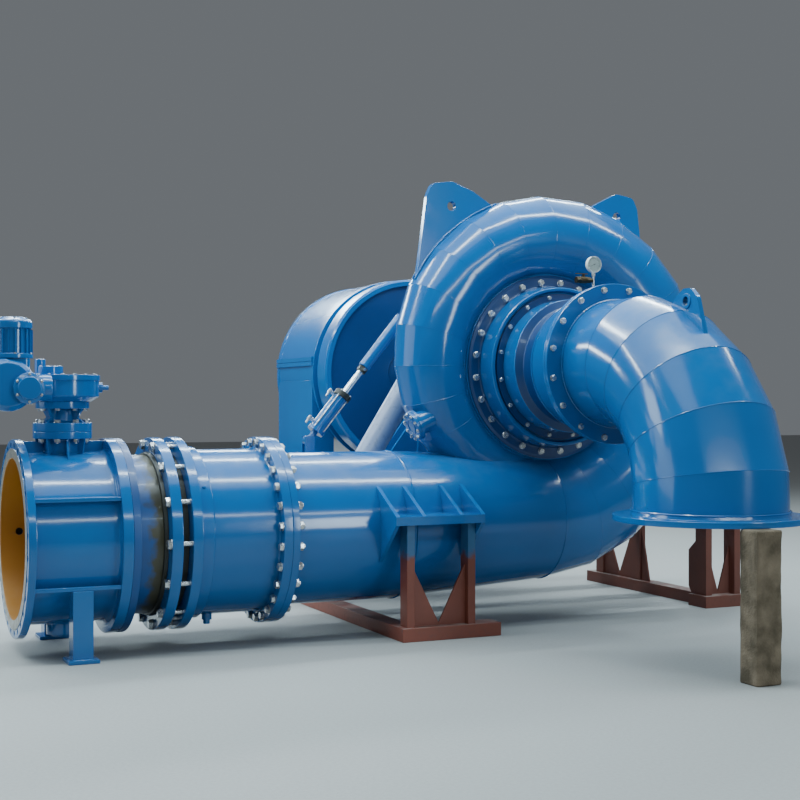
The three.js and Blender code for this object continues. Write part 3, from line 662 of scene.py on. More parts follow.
def wire_dust(w: Wiring, given: dict[str, object]) -> object:
    """Dust that settles on what faces up, thinned by fine noise.

    Args:
        w: wiring of the group.
        given: sockets of its inputs by name.

    Returns:
        The mask's socket.
    """
    facing = w.node("ShaderNodeSeparateXYZ", {"Vector": w.node("ShaderNodeNewGeometry").outputs["Normal"]})
    lies = w.fit(facing.outputs["Z"], 0.35, 1.0)
    grains = w.fit(w.spots(given["Scale"], 6.0), 0.35, 0.75)
    return w.fit(w.math("MULTIPLY", w.math("MULTIPLY", lies, grains), given["Amount"]), 0.0, 1.0)


def wire_wear(w: Wiring, given: dict[str, object]) -> object:
    """Knocks along edges.

    Args:
        w: wiring of the group.
        given: sockets of its inputs by name.

    Returns:
        The mask's socket.
    """
    sharp = w.fit(w.node("ShaderNodeNewGeometry").outputs["Pointiness"], 0.52, 0.62)
    broken = w.fit(w.spots(given["Scale"], 8.0), 0.56, 0.62)
    edges = w.math("MULTIPLY", sharp, broken)
    return w.fit(w.math("MULTIPLY", edges, given["Amount"]), 0.0, 1.0)


def wire_skin(w: Wiring, given: dict[str, object]) -> object:
    """Height of a coat of paint, in millimetres: slow waves of the plate and orange peel.

    Args:
        w: wiring of the group.
        given: sockets of its inputs by name.

    Returns:
        The height's socket.
    """
    waves = w.math("MULTIPLY", w.spots(3.2, 2.0), given["Wave"])
    peel = w.math("MULTIPLY", w.spots(170.0, 2.0), given["Peel"])
    return w.math("ADD", waves, peel)


def wire_runs(w: Wiring, given: dict[str, object]) -> object:
    """Stains that run down a surface.

    Args:
        w: wiring of the group.
        given: sockets of its inputs by name.

    Returns:
        The mask's socket.
    """
    drawn = w.spots(given["Scale"], 5.0, (1.0, 1.0, 0.12))
    return w.fit(w.math("MULTIPLY", w.fit(drawn, 0.5, 0.72), given["Amount"]), 0.0, 1.0)


@dataclass(frozen=True)
class Effects:
    """The node groups that the materials share."""

    drift: Tree
    dust: Tree
    wear: Tree
    skin: Tree
    runs: Tree


EFFECTS = Effects(
    drift=shared("tone_drift", {"Scale": 2.0, "Contrast": 1.0}, "Tone", wire_drift),
    dust=shared("settled_dust", {"Scale": 9.0, "Amount": 0.5}, "Mask", wire_dust),
    wear=shared("edge_wear", {"Scale": 40.0, "Amount": 0.6}, "Mask", wire_wear),
    skin=shared("paint_skin", {"Wave": 0.6, "Peel": 0.02}, "Height", wire_skin),
    runs=shared("run_stains", {"Scale": 14.0, "Amount": 0.6}, "Mask", wire_runs),
)
MILLIMETRE = 0.001
DUST: Colour = (0.34, 0.33, 0.3, 1)


@dataclass(frozen=True)
class Finish:
    """A finish of the unit.

    Attributes:
        name: name of its material.
        slot: the record's material slot that it belongs to; not used by this script.
    """

    name: str
    slot: str

    def material(self) -> bpy.types.Material:
        """Gives the finish's material, made the first time it is asked for.

        Returns:
            The material.
        """
        made = bpy.data.materials.get(self.name)
        if made is None:
            made = bpy.data.materials.new(self.name)
            made.use_nodes = True
            made.node_tree.nodes.clear()
            wiring = Wiring(made.node_tree)
            shader = wiring.node("ShaderNodeBsdfPrincipled")
            self.wire(wiring, shader.inputs)
            wiring.node("ShaderNodeOutputMaterial", {"Surface": shader.outputs[0]})
        return made

    def wire(self, w: Wiring, shader: Inputs) -> None:
        """Sets the shader's inputs; each finish does this in its own way.

        Args:
            w: wiring of the material.
            shader: inputs of its shader.
        """
        raise NotImplementedError

    def relief(self, w: Wiring, shader: Inputs, height: object) -> None:
        """Feeds a height in millimetres to the shader's normal."""
        bump = w.node("ShaderNodeBump", {"Height": height, "Strength": 1.0, "Distance": MILLIMETRE})
        w.feed(shader["Normal"], bump.outputs[0])


@dataclass(frozen=True)
class Paint(Finish):
    """Sprayed paint over steel.

    Attributes:
        colour: its usual colour, linear.
        deep: colour of its thicker patches.
        under: colour that shows where it is knocked.
        gloss: roughness of the clean paint.
        coat: weight of its clear coat.
        dust: how much dust lies on it.
        wear: how much it is knocked.
        wave: waviness of the surface under it, in millimetres.
    """

    colour: Colour
    deep: Colour
    under: Colour = (0.05, 0.06, 0.075, 1)
    gloss: float = 0.13
    coat: float = 0.35
    dust: float = 0.12
    wear: float = 0.3
    wave: float = 2.2

    def wire(self, w: Wiring, shader: Inputs) -> None:
        """Drifts the paint's colour slowly and weathers it."""
        tone = w.effect(EFFECTS.drift, Scale=1.7, Contrast=1.6)
        self.weather(w, shader, w.blend(tone, self.colour, self.deep), tone)

    def weather(self, w: Wiring, shader: Inputs, colour: object, tone: object) -> None:
        """Lays dust, knocks and gloss over a colour.

        Args:
            w: wiring of the material.
            shader: inputs of its shader.
            colour: colour socket of the clean paint.
            tone: slow value that also changes the gloss.
        """
        dust = w.effect(EFFECTS.dust, Scale=11.0, Amount=self.dust)
        knocks = w.effect(EFFECTS.wear, Scale=38.0, Amount=self.wear)
        dusty = w.blend(dust, colour, DUST)
        w.feed(shader["Base Color"], w.blend(knocks, dusty, self.under))
        rough = w.fit(tone, 0.0, 1.0, self.gloss, self.gloss + 0.07)
        rough = w.math("ADD", rough, w.math("MULTIPLY", dust, 0.5))
        w.feed(shader["Roughness"], w.fit(w.math("ADD", rough, w.math("MULTIPLY", knocks, 0.4)), 0.0, 1.0))
        shader["Coat Weight"].default_value = self.coat
        shader["Coat Roughness"].default_value = 0.06
        self.relief(w, shader, w.effect(EFFECTS.skin, Wave=self.wave, Peel=0.02))


@dataclass(frozen=True)
class Overspray(Paint):
    """Two finishes on one piece that meet in a soft, uneven line.

    Attributes:
        other: colour beyond the line.
        level: where the line lies on its axis, in metres.
        axis: number of the axis across the line.
        blur: half the width of the line.
    """

    other: Colour = (0.1, 0.03, 0.02, 1)
    level: float = 0.0
    axis: int = 2
    blur: float = 0.03

    def wire(self, w: Wiring, shader: Inputs) -> None:
        """The line's mask from the piece's own coordinates, with a ragged edge.

        Args:
            w: wiring of the material.
            shader: inputs of its shader.
        """
        where = w.node("ShaderNodeTexCoord").outputs["Object"]
        height = w.node("ShaderNodeSeparateXYZ", {"Vector": where}).outputs[self.axis]
        ragged = w.math("MULTIPLY", w.math("SUBTRACT", w.spots(16.0, 5.0), 0.5), 6 * self.blur)
        side = w.fit(w.math("ADD", height, ragged), self.level - self.blur, self.level + self.blur)
        tone = w.effect(EFFECTS.drift, Scale=2.5, Contrast=1.8)
        paint = w.blend(tone, self.colour, self.deep)
        darker = tuple(0.55 * part for part in self.other[:3]) + (1,)
        beyond = w.blend(tone, self.other, darker)
        self.weather(w, shader, w.blend(side, beyond, paint), tone)


@dataclass(frozen=True)
class Steel(Finish):
    """Bare, plated or oiled metal.

    Attributes:
        colour: colour of the clean metal.
        stain: colour of what lies on it in patches.
        rough: roughness of the clean metal.
        stained: how much of it is stained.
        lines: stretch of the machining lines on each axis.
    """

    colour: Colour
    stain: Colour
    rough: float = 0.3
    stained: float = 0.35
    lines: tuple[float, float, float] = (1.0, 1.0, 1.0)

    def wire(self, w: Wiring, shader: Inputs) -> None:
        """Machining lines, and stains where the metal has dulled.

        Args:
            w: wiring of the material.
            shader: inputs of its shader.
        """
        patches = w.effect(EFFECTS.drift, Scale=21.0, Contrast=2.5)
        dull = w.fit(w.math("MULTIPLY", patches, self.stained), 0.0, 1.0)
        w.feed(shader["Base Color"], w.blend(dull, self.colour, self.stain))
        fine = w.spots(260.0, 3.0, self.lines)
        rough = w.fit(fine, 0.2, 0.8, self.rough - 0.06, self.rough + 0.1)
        w.feed(shader["Roughness"], w.fit(w.math("ADD", rough, w.math("MULTIPLY", dull, 0.3)), 0.02, 1.0))
        w.feed(shader["Metallic"], w.fit(dull, 0.0, 1.0, 1.0, 0.7))
        self.relief(w, shader, w.math("MULTIPLY", fine, 0.02))


@dataclass(frozen=True)
class Concrete(Finish):
    """Old cast concrete with stains and pores."""

    colour: Colour = (0.2, 0.15, 0.1, 1)
    dark: Colour = (0.035, 0.027, 0.014, 1)

    def wire(self, w: Wiring, shader: Inputs) -> None:
        """Mottled grey, darker stains that run down, and pores.

        Args:
            w: wiring of the material.
            shader: inputs of its shader.
        """
        tone = w.effect(EFFECTS.drift, Scale=9.0, Contrast=3.2)
        runs = w.effect(EFFECTS.runs, Scale=11.0, Amount=1.0)
        stained = w.math("MAXIMUM", w.math("MULTIPLY", tone, 0.75), w.math("MULTIPLY", runs, 0.8))
        w.feed(shader["Base Color"], w.blend(stained, self.colour, self.dark))
        w.feed(shader["Roughness"], w.fit(tone, 0.0, 1.0, 0.82, 0.97))
        pores = w.fit(w.spots(75.0, 8.0), 0.4, 0.7)
        self.relief(w, shader, w.math("MULTIPLY", pores, 2.2))


@dataclass(frozen=True)
class Plain(Finish):
    """Rubber, enamel and other small surfaces with an even grain.

    Attributes:
        colour: its colour.
        shade: colour of its grain.
        rough: its roughness.
    """

    colour: Colour
    shade: Colour
    rough: float = 0.5

    def wire(self, w: Wiring, shader: Inputs) -> None:
        """A fine grain in colour and roughness.

        Args:
            w: wiring of the material.
            shader: inputs of its shader.
        """
        grain = w.effect(EFFECTS.drift, Scale=60.0, Contrast=1.8)
        w.feed(shader["Base Color"], w.blend(grain, self.colour, self.shade))
        w.feed(shader["Roughness"], w.fit(grain, 0.0, 1.0, self.rough, self.rough + 0.12))
        self.relief(w, shader, w.math("MULTIPLY", grain, 0.04))


@dataclass(frozen=True)
class Glass(Finish):
    """Clear cover glass with a little dust."""

    def wire(self, w: Wiring, shader: Inputs) -> None:
        """Clear glass whose roughness changes with the dust.

        Args:
            w: wiring of the material.
            shader: inputs of its shader.
        """
        smear = w.effect(EFFECTS.drift, Scale=40.0, Contrast=1.5)
        w.feed(shader["Roughness"], w.fit(smear, 0.0, 1.0, 0.01, 0.1))
        shader["Base Color"].default_value = (0.95, 0.98, 0.97, 1)
        shader["Transmission Weight"].default_value = 1.0
        shader["IOR"].default_value = 1.45


BLUE = Paint(
    "blue_gloss_paint", "blue_paint", (0.002, 0.125, 0.37, 1), (0.0015, 0.095, 0.295, 1), coat=0.25, wear=0.0
)
# Dark blue paint. On the front cover's plate outside the hub, its small ring and the draft cone's groove it
# is painted shade; on the drum's front disc and the bed it is the dark paint itself.
DEEP_BLUE_AND_PAINTED_SHADE = Paint(
    "deep_blue_paint_and_painted_shade", "dark_blue_paint", (0.002, 0.045, 0.17, 1), (0.001, 0.03, 0.12, 1), gloss=0.3, coat=0.2
)
# Blue paint made pale and lavender as painted sheen: the pale colour stands for strong light on the relief
# pipe's blue paint.
RELIEF_BLUE_WITH_PAINTED_SHEEN = Paint(
    "blue_paint_with_painted_sheen", "blue_paint", (0.31, 0.37, 0.5, 1), (0.22, 0.29, 0.43, 1), gloss=0.3, coat=0.2
)
PRIMER = Paint(
    "red_brown_primer", "primer_paint", (0.19, 0.05, 0.03, 1), (0.075, 0.024, 0.017, 1),
    under=(0.05, 0.035, 0.03, 1), gloss=0.55, coat=0.0, dust=0.7,
)
OCHRE = Paint(
    "ochre_lining", "blue_paint", (0.42, 0.19, 0.01, 1), (0.3, 0.11, 0.004, 1), gloss=0.42, coat=0.1
)
TRESTLE = Overspray(
    "trestle_primer_and_overspray", "primer_paint", (0.03, 0.13, 0.27, 1), (0.02, 0.09, 0.2, 1),
    gloss=0.45, coat=0.0, dust=0.6, other=(0.25, 0.062, 0.036, 1), level=0.5, blur=0.02,
)
BRIGHT = Steel("galvanised_bolts", "bright_steel", (0.62, 0.64, 0.65, 1), (0.3, 0.29, 0.26, 1), rough=0.2)
MACHINED = Steel("machined_face", "bright_steel", (0.46, 0.47, 0.47, 1), (0.2, 0.15, 0.1, 1), stained=0.7)
CHROME = Steel("chromed_rod", "chrome", (0.88, 0.89, 0.9, 1), (0.6, 0.6, 0.6, 1), rough=0.08, stained=0.1)
BRASS = Steel("dull_brass", "dark_brass", (0.075, 0.055, 0.03, 1), (0.03, 0.022, 0.014, 1), rough=0.35)
BLACK = Plain("black_rubber", "oiled_steel", (0.012, 0.013, 0.011, 1), (0.03, 0.032, 0.024, 1), 0.42)
DIAL = Plain("pale_dial", "gauge_plate", (0.72, 0.78, 0.74, 1), (0.62, 0.68, 0.64, 1), 0.4)
INK = Plain("dial_ink", "gauge_plate", (0.01, 0.01, 0.012, 1), (0.02, 0.02, 0.022, 1), 0.5)
CONCRETE = Concrete("old_concrete", "concrete")
GLASS = Glass("gauge_glass", "gauge_plate")


def smoothed(made: bpy.types.Object, crease: float, bevel: float) -> None:
    """Smooth shading with sharp creases, after an optional bevel of the edges.

    Args:
        made: the object.
        crease: angle in degrees past which an edge stays sharp.
        bevel: width of the bevel in metres, or 0.
    """
    if bevel > 0:
        soft = made.modifiers.new("edges", "BEVEL")
        soft.width = bevel
        soft.segments = 2
        soft.limit_method = "ANGLE"
        soft.angle_limit = math.radians(crease)
        soft.use_clamp_overlap = True
    made.data.shade_smooth()
    if bevel <= 0:
        made.data.set_sharp_from_angle(angle=math.radians(crease))
    even = made.modifiers.new("even_normals", "WEIGHTED_NORMAL")
    even.keep_sharp = True


def piece(
    name: str,
    shape: Shape,
    *finishes: Finish,
    replaces: Sequence[str] = (),
    body: str = "unit",
    crease: float = 32.0,
    bevel: float = 0.0,
) -> bpy.types.Object:
    """Makes one visible piece of the unit.

    Args:
        name: name of the piece.
        shape: its closed surfaces, in the frame of the part.
        finishes: its finishes, in the order of the shape's paint numbers.
        replaces: nodes of the frame that it stands for.
        body: body of the frame that it moves with.
        crease: angle in degrees past which an edge stays sharp.
        bevel: width of the bevel on sharp edges, in metres.

    Returns:
        The new object.
    """
    made = mesh_object(name, shape)
    for finish in finishes:
        made.data.materials.append(finish.material())
    smoothed(made, crease, bevel)
    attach(made, body)
    if replaces:
        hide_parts(*replaces)
    LOG.info("piece %s: %d faces on %s", name, len(made.data.polygons), body)
    return made


def dress(node: str, finish: Finish, bevel: float) -> None:
    """Gives a plate-built node of the frame its finish and soft edges, in its own shape.

    Args:
        node: name of the node.
        finish: its finish.
        bevel: width of its edges, in metres.
    """
    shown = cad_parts[node]
    shown.data.materials.clear()
    shown.data.materials.append(finish.material())
    weld_points = shown.modifiers.new("join_corners", "WELD")
    weld_points.merge_threshold = 1e-5
    flatten = shown.modifiers.new("join_flats", "DECIMATE")
    flatten.decimate_type = "DISSOLVE"
    flatten.angle_limit = math.radians(0.5)
    smoothed(shown, 30.0, bevel)
    LOG.info("node %s dressed with %s", node, finish.name)


class Head(Enum):
    """Ends of a bolt that can show, with their heights in thread diameters."""

    HEAD = 0.66
    NUT = 0.84


# Sizes of bolt ends, in thread diameters
WASHER_THICK = 0.16
WASHER_REACH = 1.02
HEX_REACH = 0.93
HEX_TOP_REACH = 0.8
HEX_CHAMFER = 0.1
THREAD_END = 0.32


def hex_end(size: float, kind: Head, turn: float) -> Shape:
    """Washer and head, or washer, nut and thread end, on local Z from 0 up.

    Args:
        size: thread diameter in metres.
        kind: head or nut.
        turn: angle of the flats, in radians.

    Returns:
        The end as a shape in local axes.
    """
    here = Matrix.Identity(4)
    washer = WASHER_THICK * size
    shape = rod(here, WASHER_REACH * size, 0.0, washer, 20, 0.0008)
    tall = washer + kind.value * size
    corner = HEX_REACH * size
    rows = [(corner, washer), (corner, tall - HEX_CHAMFER * size), (HEX_TOP_REACH * size, tall)]
    angles = [turn + angle for angle in even_turns(6)]
    loops = [[Vector((r * math.cos(a), r * math.sin(a), height)) for a in angles] for r, height in rows]
    shape.take(loft(loops))
    if kind is Head.NUT:
        shape.take(rod(here, 0.5 * size, washer, tall + THREAD_END * size, 12, 0.003))
    return shape


def bolt_places(place: Matrix, radius: float, count: int) -> list[Matrix]:
    """Places set evenly on a circle about a local Z axis, the first one half a step round."""
    return [place @ on_circle(radius, 2 * math.pi * (i + 0.5) / count) for i in range(count)]


def bolt_circle(
    place: Matrix, radius: float, count: int, size: float, kind: Head, flip: bool = False
) -> Shape:
    """Bolt ends set evenly on a circle of a flat face.

    Args:
        place: place on the face's axis, local Z out of the face.
        radius: radius of the circle.
        count: number of bolts.
        size: thread diameter.
        kind: heads or nuts.
        flip: true where the face looks along minus local Z.

    Returns:
        All the ends as one shape.
    """
    shape = Shape()
    facing = HALF_TURN if flip else Matrix.Identity(4)
    for i, spot in enumerate(bolt_places(place, radius, count)):
        shape.take(hex_end(size, kind, 0.7 * i).placed(spot @ facing))
    return shape


def hole_circle(place: Matrix, radius: float, count: int, hole: float, low: float, high: float) -> Shape:
    """Round cutters on a circle, for the holes of an open flange."""
    return Shape().take(*(rod(spot, hole, low, high, 20, 0.0) for spot in bolt_places(place, radius, count)))


def on_line(x: float, y: float, z: float) -> Vector:
    """A point from the valve's open face on the pipe axis."""
    return LINE + Vector((x, y, z))


def on_shaft(x: float, y: float, z: float) -> Vector:
    """A point from the stay ring's middle on the shaft, y towards the generator."""
    return TURBINE + Vector((x, y, z))


def off_line(point: Vector) -> float:
    """Distance of a point from the pipe axis."""
    return math.hypot(point.y - LINE.y, point.z - LINE.z)


@dataclass
class InletValve:
    """Butterfly valve with its feet, disc and stem."""

    shell: float = 0.485
    end: float = 0.562
    front_flange: float = 0.045
    rear_flange: float = 0.057
    stem_x: float = 0.28
    stem: float = 0.04
    neck: float = 0.105
    pad: float = 0.165
    pad_thick: float = 0.04
    neck_top: float = 0.6
    trunnion: float = 0.09
    raised_face: float = 0.508
    hole: float = 0.0165
    bypass: float = 0.022
    bypass_x: float = 0.11
    rib_height: float = 0.24
    rib_half: float = 0.011
    web_half: float = 0.006

    def body(self) -> None:
        """Casting with its drilled inlet flange, ribs, neck, bearing and bypass stub."""
        profile = rounded([
            (BORE, 0, 0.004), (self.raised_face, 0), (self.raised_face, 0.003, 0),
            (FLANGE, 0.003, 0.004), (FLANGE, self.front_flange, 0.004),
            (self.shell, self.front_flange, 0.016), (self.shell, self.end - self.rear_flange, 0.03),
            (FLANGE, self.end - self.rear_flange, 0.004), (FLANGE, self.end), (BORE, self.end),
        ], steps=4)
        holes = hole_circle(along_line(), BOLT_CIRCLE, FLANGE_BOLTS, self.hole, -0.01, 0.06)
        branch = aim(on_line(self.bypass_x, 0, 0), BACK)
        holes.take(rod(branch, self.bypass, 0.4, 0.56, 24, 0.0))
        casting = drilled(turned(profile, along_line(), 144), holes)
        casting.painted(1, lambda p: off_line(p) < BORE + 0.004)
        casting.painted(2, lambda p: p.x < LINE.x + 0.001 and off_line(p) > BORE + 0.004)
        piece("valve_casting", casting, BLUE, OCHRE, MACHINED, replaces=["valve_body"])
        extras = ring(branch, 0.045, self.bypass, 0.47, 0.54, 40)
        up = aim(on_line(self.stem_x, 0, 0), UP)
        clear, under = self.stem + 0.001, self.neck_top - self.pad_thick
        neck = [
            (clear, 0.46, 0), (self.neck, 0.45, 0), (self.neck, under, 0.012), (self.pad, under, 0.004),
            (self.pad, self.neck_top, 0.004), (clear, self.neck_top),
        ]
        extras.take(turned(rounded(neck), up, 64))
        down = aim(on_line(self.stem_x, 0, 0), DOWN)
        extras.take(rod(down, self.trunnion, 0.46, 0.55, 48, 0.006))
        extras.take(rod(down, 0.06, 0.54, 0.562, 48, 0.003))
        for place, radius in ((up, self.neck), (down, self.trunnion)):
            extras.take(weld([place @ point for point in saddle(self.shell, radius)], 0.009))
        piece("valve_neck", extras, BLUE, crease=34)
        # A black disc inside the bypass bore, painted shade that keeps the hole dark.
        piece("valve_bypass_painted_shade_disc", rod(branch, 0.0219, 0.52, 0.537, 24), BLACK)
        piece("valve_ribs", self.ribs(), BLUE, bevel=0.003)

    def ribs(self) -> Shape:
        """Lengthwise ribs of the shell and gussets round the neck.

        Returns:
            The ribs as one shape.
        """
        shape = Shape()
        start, end, half = 0.04, self.end - 0.05, self.rib_half
        shape.take(block(on_line(start, -half, 0.47), on_line(end, half, 0.545)))
        for side in (-1, 1):
            low, high = span(side, 0.4, 0.49)
            for height in (-self.rib_height, self.rib_height):
                shape.take(block(on_line(start, low, height - half), on_line(end, high, height + half)))
        top = self.neck_top - self.pad_thick
        inner, reach = 0.09, 0.152
        stem = Matrix.Translation(on_line(self.stem_x, 0, 0))
        for angle in even_turns(8):
            foot = 0.118 + 0.08 * math.sin(angle) ** 4
            drop = math.sqrt(self.shell**2 - (foot * math.sin(angle)) ** 2) - 0.006
            outline = [(inner, drop - 0.02), (foot, drop), (reach, top - 0.012), (reach, top + 0.002)]
            outline.append((inner, top))
            shape.take(plate(outline, fin(stem, angle), -self.web_half, self.web_half))
        return shape

    def disc(self) -> None:
        """Dished disc with its hub and rubber edge, and the stem."""
        place = along_line(self.stem_x)
        dish = rounded([
            (0, -0.06, 0), (0.15, -0.055, 0.03), (0.43, -0.02, 0.02), (0.43, 0.02, 0.02),
            (0.15, 0.055, 0.03), (0, 0.06, 0),
        ])
        shape = turned(dish, place, 128)
        up = aim(on_line(self.stem_x, 0, 0), UP)
        shape.take(rod(up, 0.074, -0.425, 0.425, 48, 0.012))
        for height in (-0.2, 0.0, 0.2):
            pin = aim(on_line(self.stem_x - 0.06, 0, height), LEFT)
            shape.take(rod(pin, 0.021, 0.0, 0.022, 24, 0.003))
        edge = ring(place, 0.442, 0.425, -0.014, 0.014, 128).painted(1)
        piece("valve_disc_dish", shape.take(edge), OCHRE, BLACK, replaces=["valve_disc"], body="valve_rotor")
        rotor = Shape().take(rod(up, self.stem, 0.4, 0.88, 32, 0.003), rod(up, self.stem, -0.535, -0.4, 32))
        piece("valve_stem_bar", rotor, MACHINED, replaces=["valve_stem"], body="valve_rotor")

    def build(self) -> None:
        """Builds the valve and dresses its feet."""
        self.body()
        self.disc()
        for node in ("valve_foot_front", "valve_foot_back"):
            dress(node, BLUE, 0.004)


@dataclass
class ValveDrive:
    """Stem housing, worm gearbox and electric drive."""

    stem_x: float = InletValve.stem_x
    base: float = InletValve.neck_top
    pad: float = InletValve.pad
    pad_bolts: float = 0.135
    yoke_bore: float = 0.043
    yoke_top: float = 0.15
    gear_low: float = 0.77
    gear_high: float = 0.92
    gear: float = 0.21
    worm_y: float = -0.175
    worm_z: float = 0.845
    drive_x: float = -0.065
    drive_y: float = -0.205
    drive_z: float = 0.86
    cover_x: float = 0.037
    cover_z: float = 0.842
    motor_x: float = -0.03

    def housing(self) -> None:
        """Yoke between the valve's pad and the gearbox."""
        up = aim(on_line(self.stem_x, 0, 0), UP)
        flange_top, flange_under = self.base + 0.05, self.gear_low - 0.04
        profile = rounded([
            (self.yoke_bore, self.base, 0), (self.pad, self.base), (self.pad, flange_top, 0.004),
            (0.075, self.base + 0.055, 0.012), (0.065, self.gear_low - 0.045, 0.01),
            (self.yoke_top, flange_under, 0.004), (self.yoke_top, self.gear_low),
            (self.yoke_bore, self.gear_low, 0),
        ])
        shape = turned(profile, up, 72)
        web = [(0.05, flange_top), (0.145, flange_top), (0.105, self.gear_low - 0.09)]
        web += [(0.135, flange_under), (0.05, flange_under)]
        for angle in even_turns(4):
            shape.take(plate(web, fin(up, math.pi / 4 + angle), -0.008, 0.008))
        piece("stem_yoke", shape, BLUE, replaces=["stem_housing"], bevel=0.0015)
        bolts = bolt_circle(raised(up, self.base + 0.052), self.pad_bolts, 8, 0.02, Head.HEAD)
        under = raised(up, self.base - InletValve.pad_thick)
        bolts.take(bolt_circle(under, self.pad_bolts, 8, 0.02, Head.NUT, flip=True))
        bolts.take(bolt_circle(raised(up, flange_under), 0.125, 8, 0.016, Head.HEAD, flip=True))
        piece("stem_yoke_bolts", bolts, BRIGHT)

    def gearbox(self) -> None:
        """Round worm gearbox with its covers, worm barrel and stop bolt."""
        up = aim(on_line(self.stem_x, 0, 0), UP)
        low, high = self.gear_low, self.gear_high
        case = [
            (0, low, 0), (0.16, low, 0.004), (self.gear - 0.005, low + 0.028, 0.012),
            (self.gear - 0.005, high - 0.032, 0), (self.gear, high - 0.03, 0.003),
            (self.gear, high, 0.004), (0, high, 0),
        ]
        shape = turned(rounded(case), up, 96)
        cap = aim(on_line(self.stem_x - 0.071, 0, 0), UP)
        shape.take(rod(cap, 0.08, high - 0.005, high + 0.012, 56, 0.003))
        shape.take(rod(cap, 0.074, high, high + 0.05, 56, 0.006))
        knob = aim(on_line(self.stem_x - 0.125, 0, 0), UP)
        shape.take(rod(knob, 0.03, high, high + 0.09, 40, 0.006))
        worm = aim(on_line(self.stem_x, self.worm_y, self.worm_z), LEFT)
        shape.take(rod(worm, 0.074, 0.095, 0.195, 48, 0.01))
        stop = aim(on_line(self.stem_x, 0, 0.85), RIGHT)
        shape.take(rod(stop, 0.03, 0.19, 0.225, 32, 0.004), rod(stop, 0.014, 0.2, 0.262, 24, 0.003))
        piece("worm_gearbox", shape, BLUE, replaces=["gearbox"])
        bolts = bolt_circle(raised(up, high - 0.002), 0.185, 16, 0.01, Head.HEAD)
        bolts.take(bolt_circle(raised(cap, high + 0.048), 0.062, 6, 0.008, Head.HEAD))
        piece("worm_gearbox_bolts", bolts, BRIGHT)

    def drive(self) -> None:
        """Electric drive: round gear case, switch cover, motor with ribs."""
        across = aim(on_line(self.drive_x, 0, self.drive_z), FRONT)
        case = [
            (0, 0.08, 0), (0.12, 0.08, 0.02), (0.145, 0.11, 0.03), (0.145, 0.3, 0.03),
            (0.118, 0.33, 0.015), (0, 0.33, 0),
        ]
        shape = turned(rounded(case, steps=5), across, 80)
        side = aim(on_line(self.drive_x, self.worm_y, self.worm_z), RIGHT)
        shape.take(rod(side, 0.085, 0.07, 0.149, 48, 0.006))
        shape.take(rod(side, 0.09, 0.128, 0.149, 48, 0.004))
        body = [(-0.052, -0.095), (0.12, -0.095), (0.12, 0.09), (-0.052, 0.09)]
        top = Matrix.Translation(on_line(self.drive_x, self.drive_y, 0))
        shape.take(plate(rounded(body, 0.03, 5), top, 0.8, 1.003))
        cone = aim(on_line(self.cover_x, 0, self.cover_z), FRONT)
        neck = [(0, 0.26, 0), (0.075, 0.26, 0.01), (0.085, 0.3, 0.01), (0.085, 0.345, 0.003), (0, 0.345, 0)]
        shape.take(turned(rounded(neck), cone, 64))
        piece("drive_case", shape, BLUE, replaces=["actuator_body"], crease=36)
        lid = [
            (0, 0.3452, 0), (0.084, 0.3452, 0.002), (0.084, 0.366, 0.005), (0.065, 0.37, 0.004),
            (0.061, 0.385, 0.006), (0, 0.385, 0),
        ]
        piece("drive_cover", turned(rounded(lid), cone, 64), BLUE, replaces=["actuator_cover"])
        bolts = bolt_circle(raised(cone, 0.368), 0.074, 6, 0.008, Head.HEAD)
        bolts.take(bolt_circle(raised(side, 0.128), 0.078, 6, 0.01, Head.HEAD, flip=True))
        piece("drive_bolts", bolts, BRIGHT)
        self.motor()

    def motor(self) -> None:
        """Upright motor with cooling ribs and a capped fan cowl."""
        up = aim(on_line(self.motor_x, self.drive_y, 0), UP)
        profile = [
            (0, 1.0055, 0), (0.112, 1.0055, 0.003), (0.112, 1.028, 0.003), (0.098, 1.034, 0.003),
            (0.098, 1.165, 0.003), (0.108, 1.17, 0.004), (0.108, 1.21, 0.02), (0.07, 1.23, 0.01),
            (0, 1.23, 0),
        ]
        shape = turned(rounded(profile), up, 80)
        rib = [(0.09, 1.032), (0.111, 1.036), (0.111, 1.16), (0.09, 1.168)]
        for angle in even_turns(20):
            shape.take(plate(rib, fin(up, angle), -0.0025, 0.0025))
        box = aim(on_line(self.motor_x - 0.095, self.drive_y, 1.09), LEFT)
        lid = rounded([(-0.035, -0.045), (0.035, -0.045), (0.035, 0.045), (-0.035, 0.045)], 0.008)
        shape.take(plate(lid, box, 0, 0.03))
        piece("drive_motor", shape, BLUE, replaces=["actuator_motor"])
        bolts = bolt_circle(raised(up, 1.028), 0.104, 6, 0.01, Head.HEAD)
        bolts.take(bolt_circle(raised(up, 1.222), 0.08, 6, 0.007, Head.HEAD))
        piece("drive_motor_bolts", bolts, BRIGHT)

    def build(self) -> None:
        """Builds the drive from the pad up."""
        self.housing()
        self.gearbox()
        self.drive()


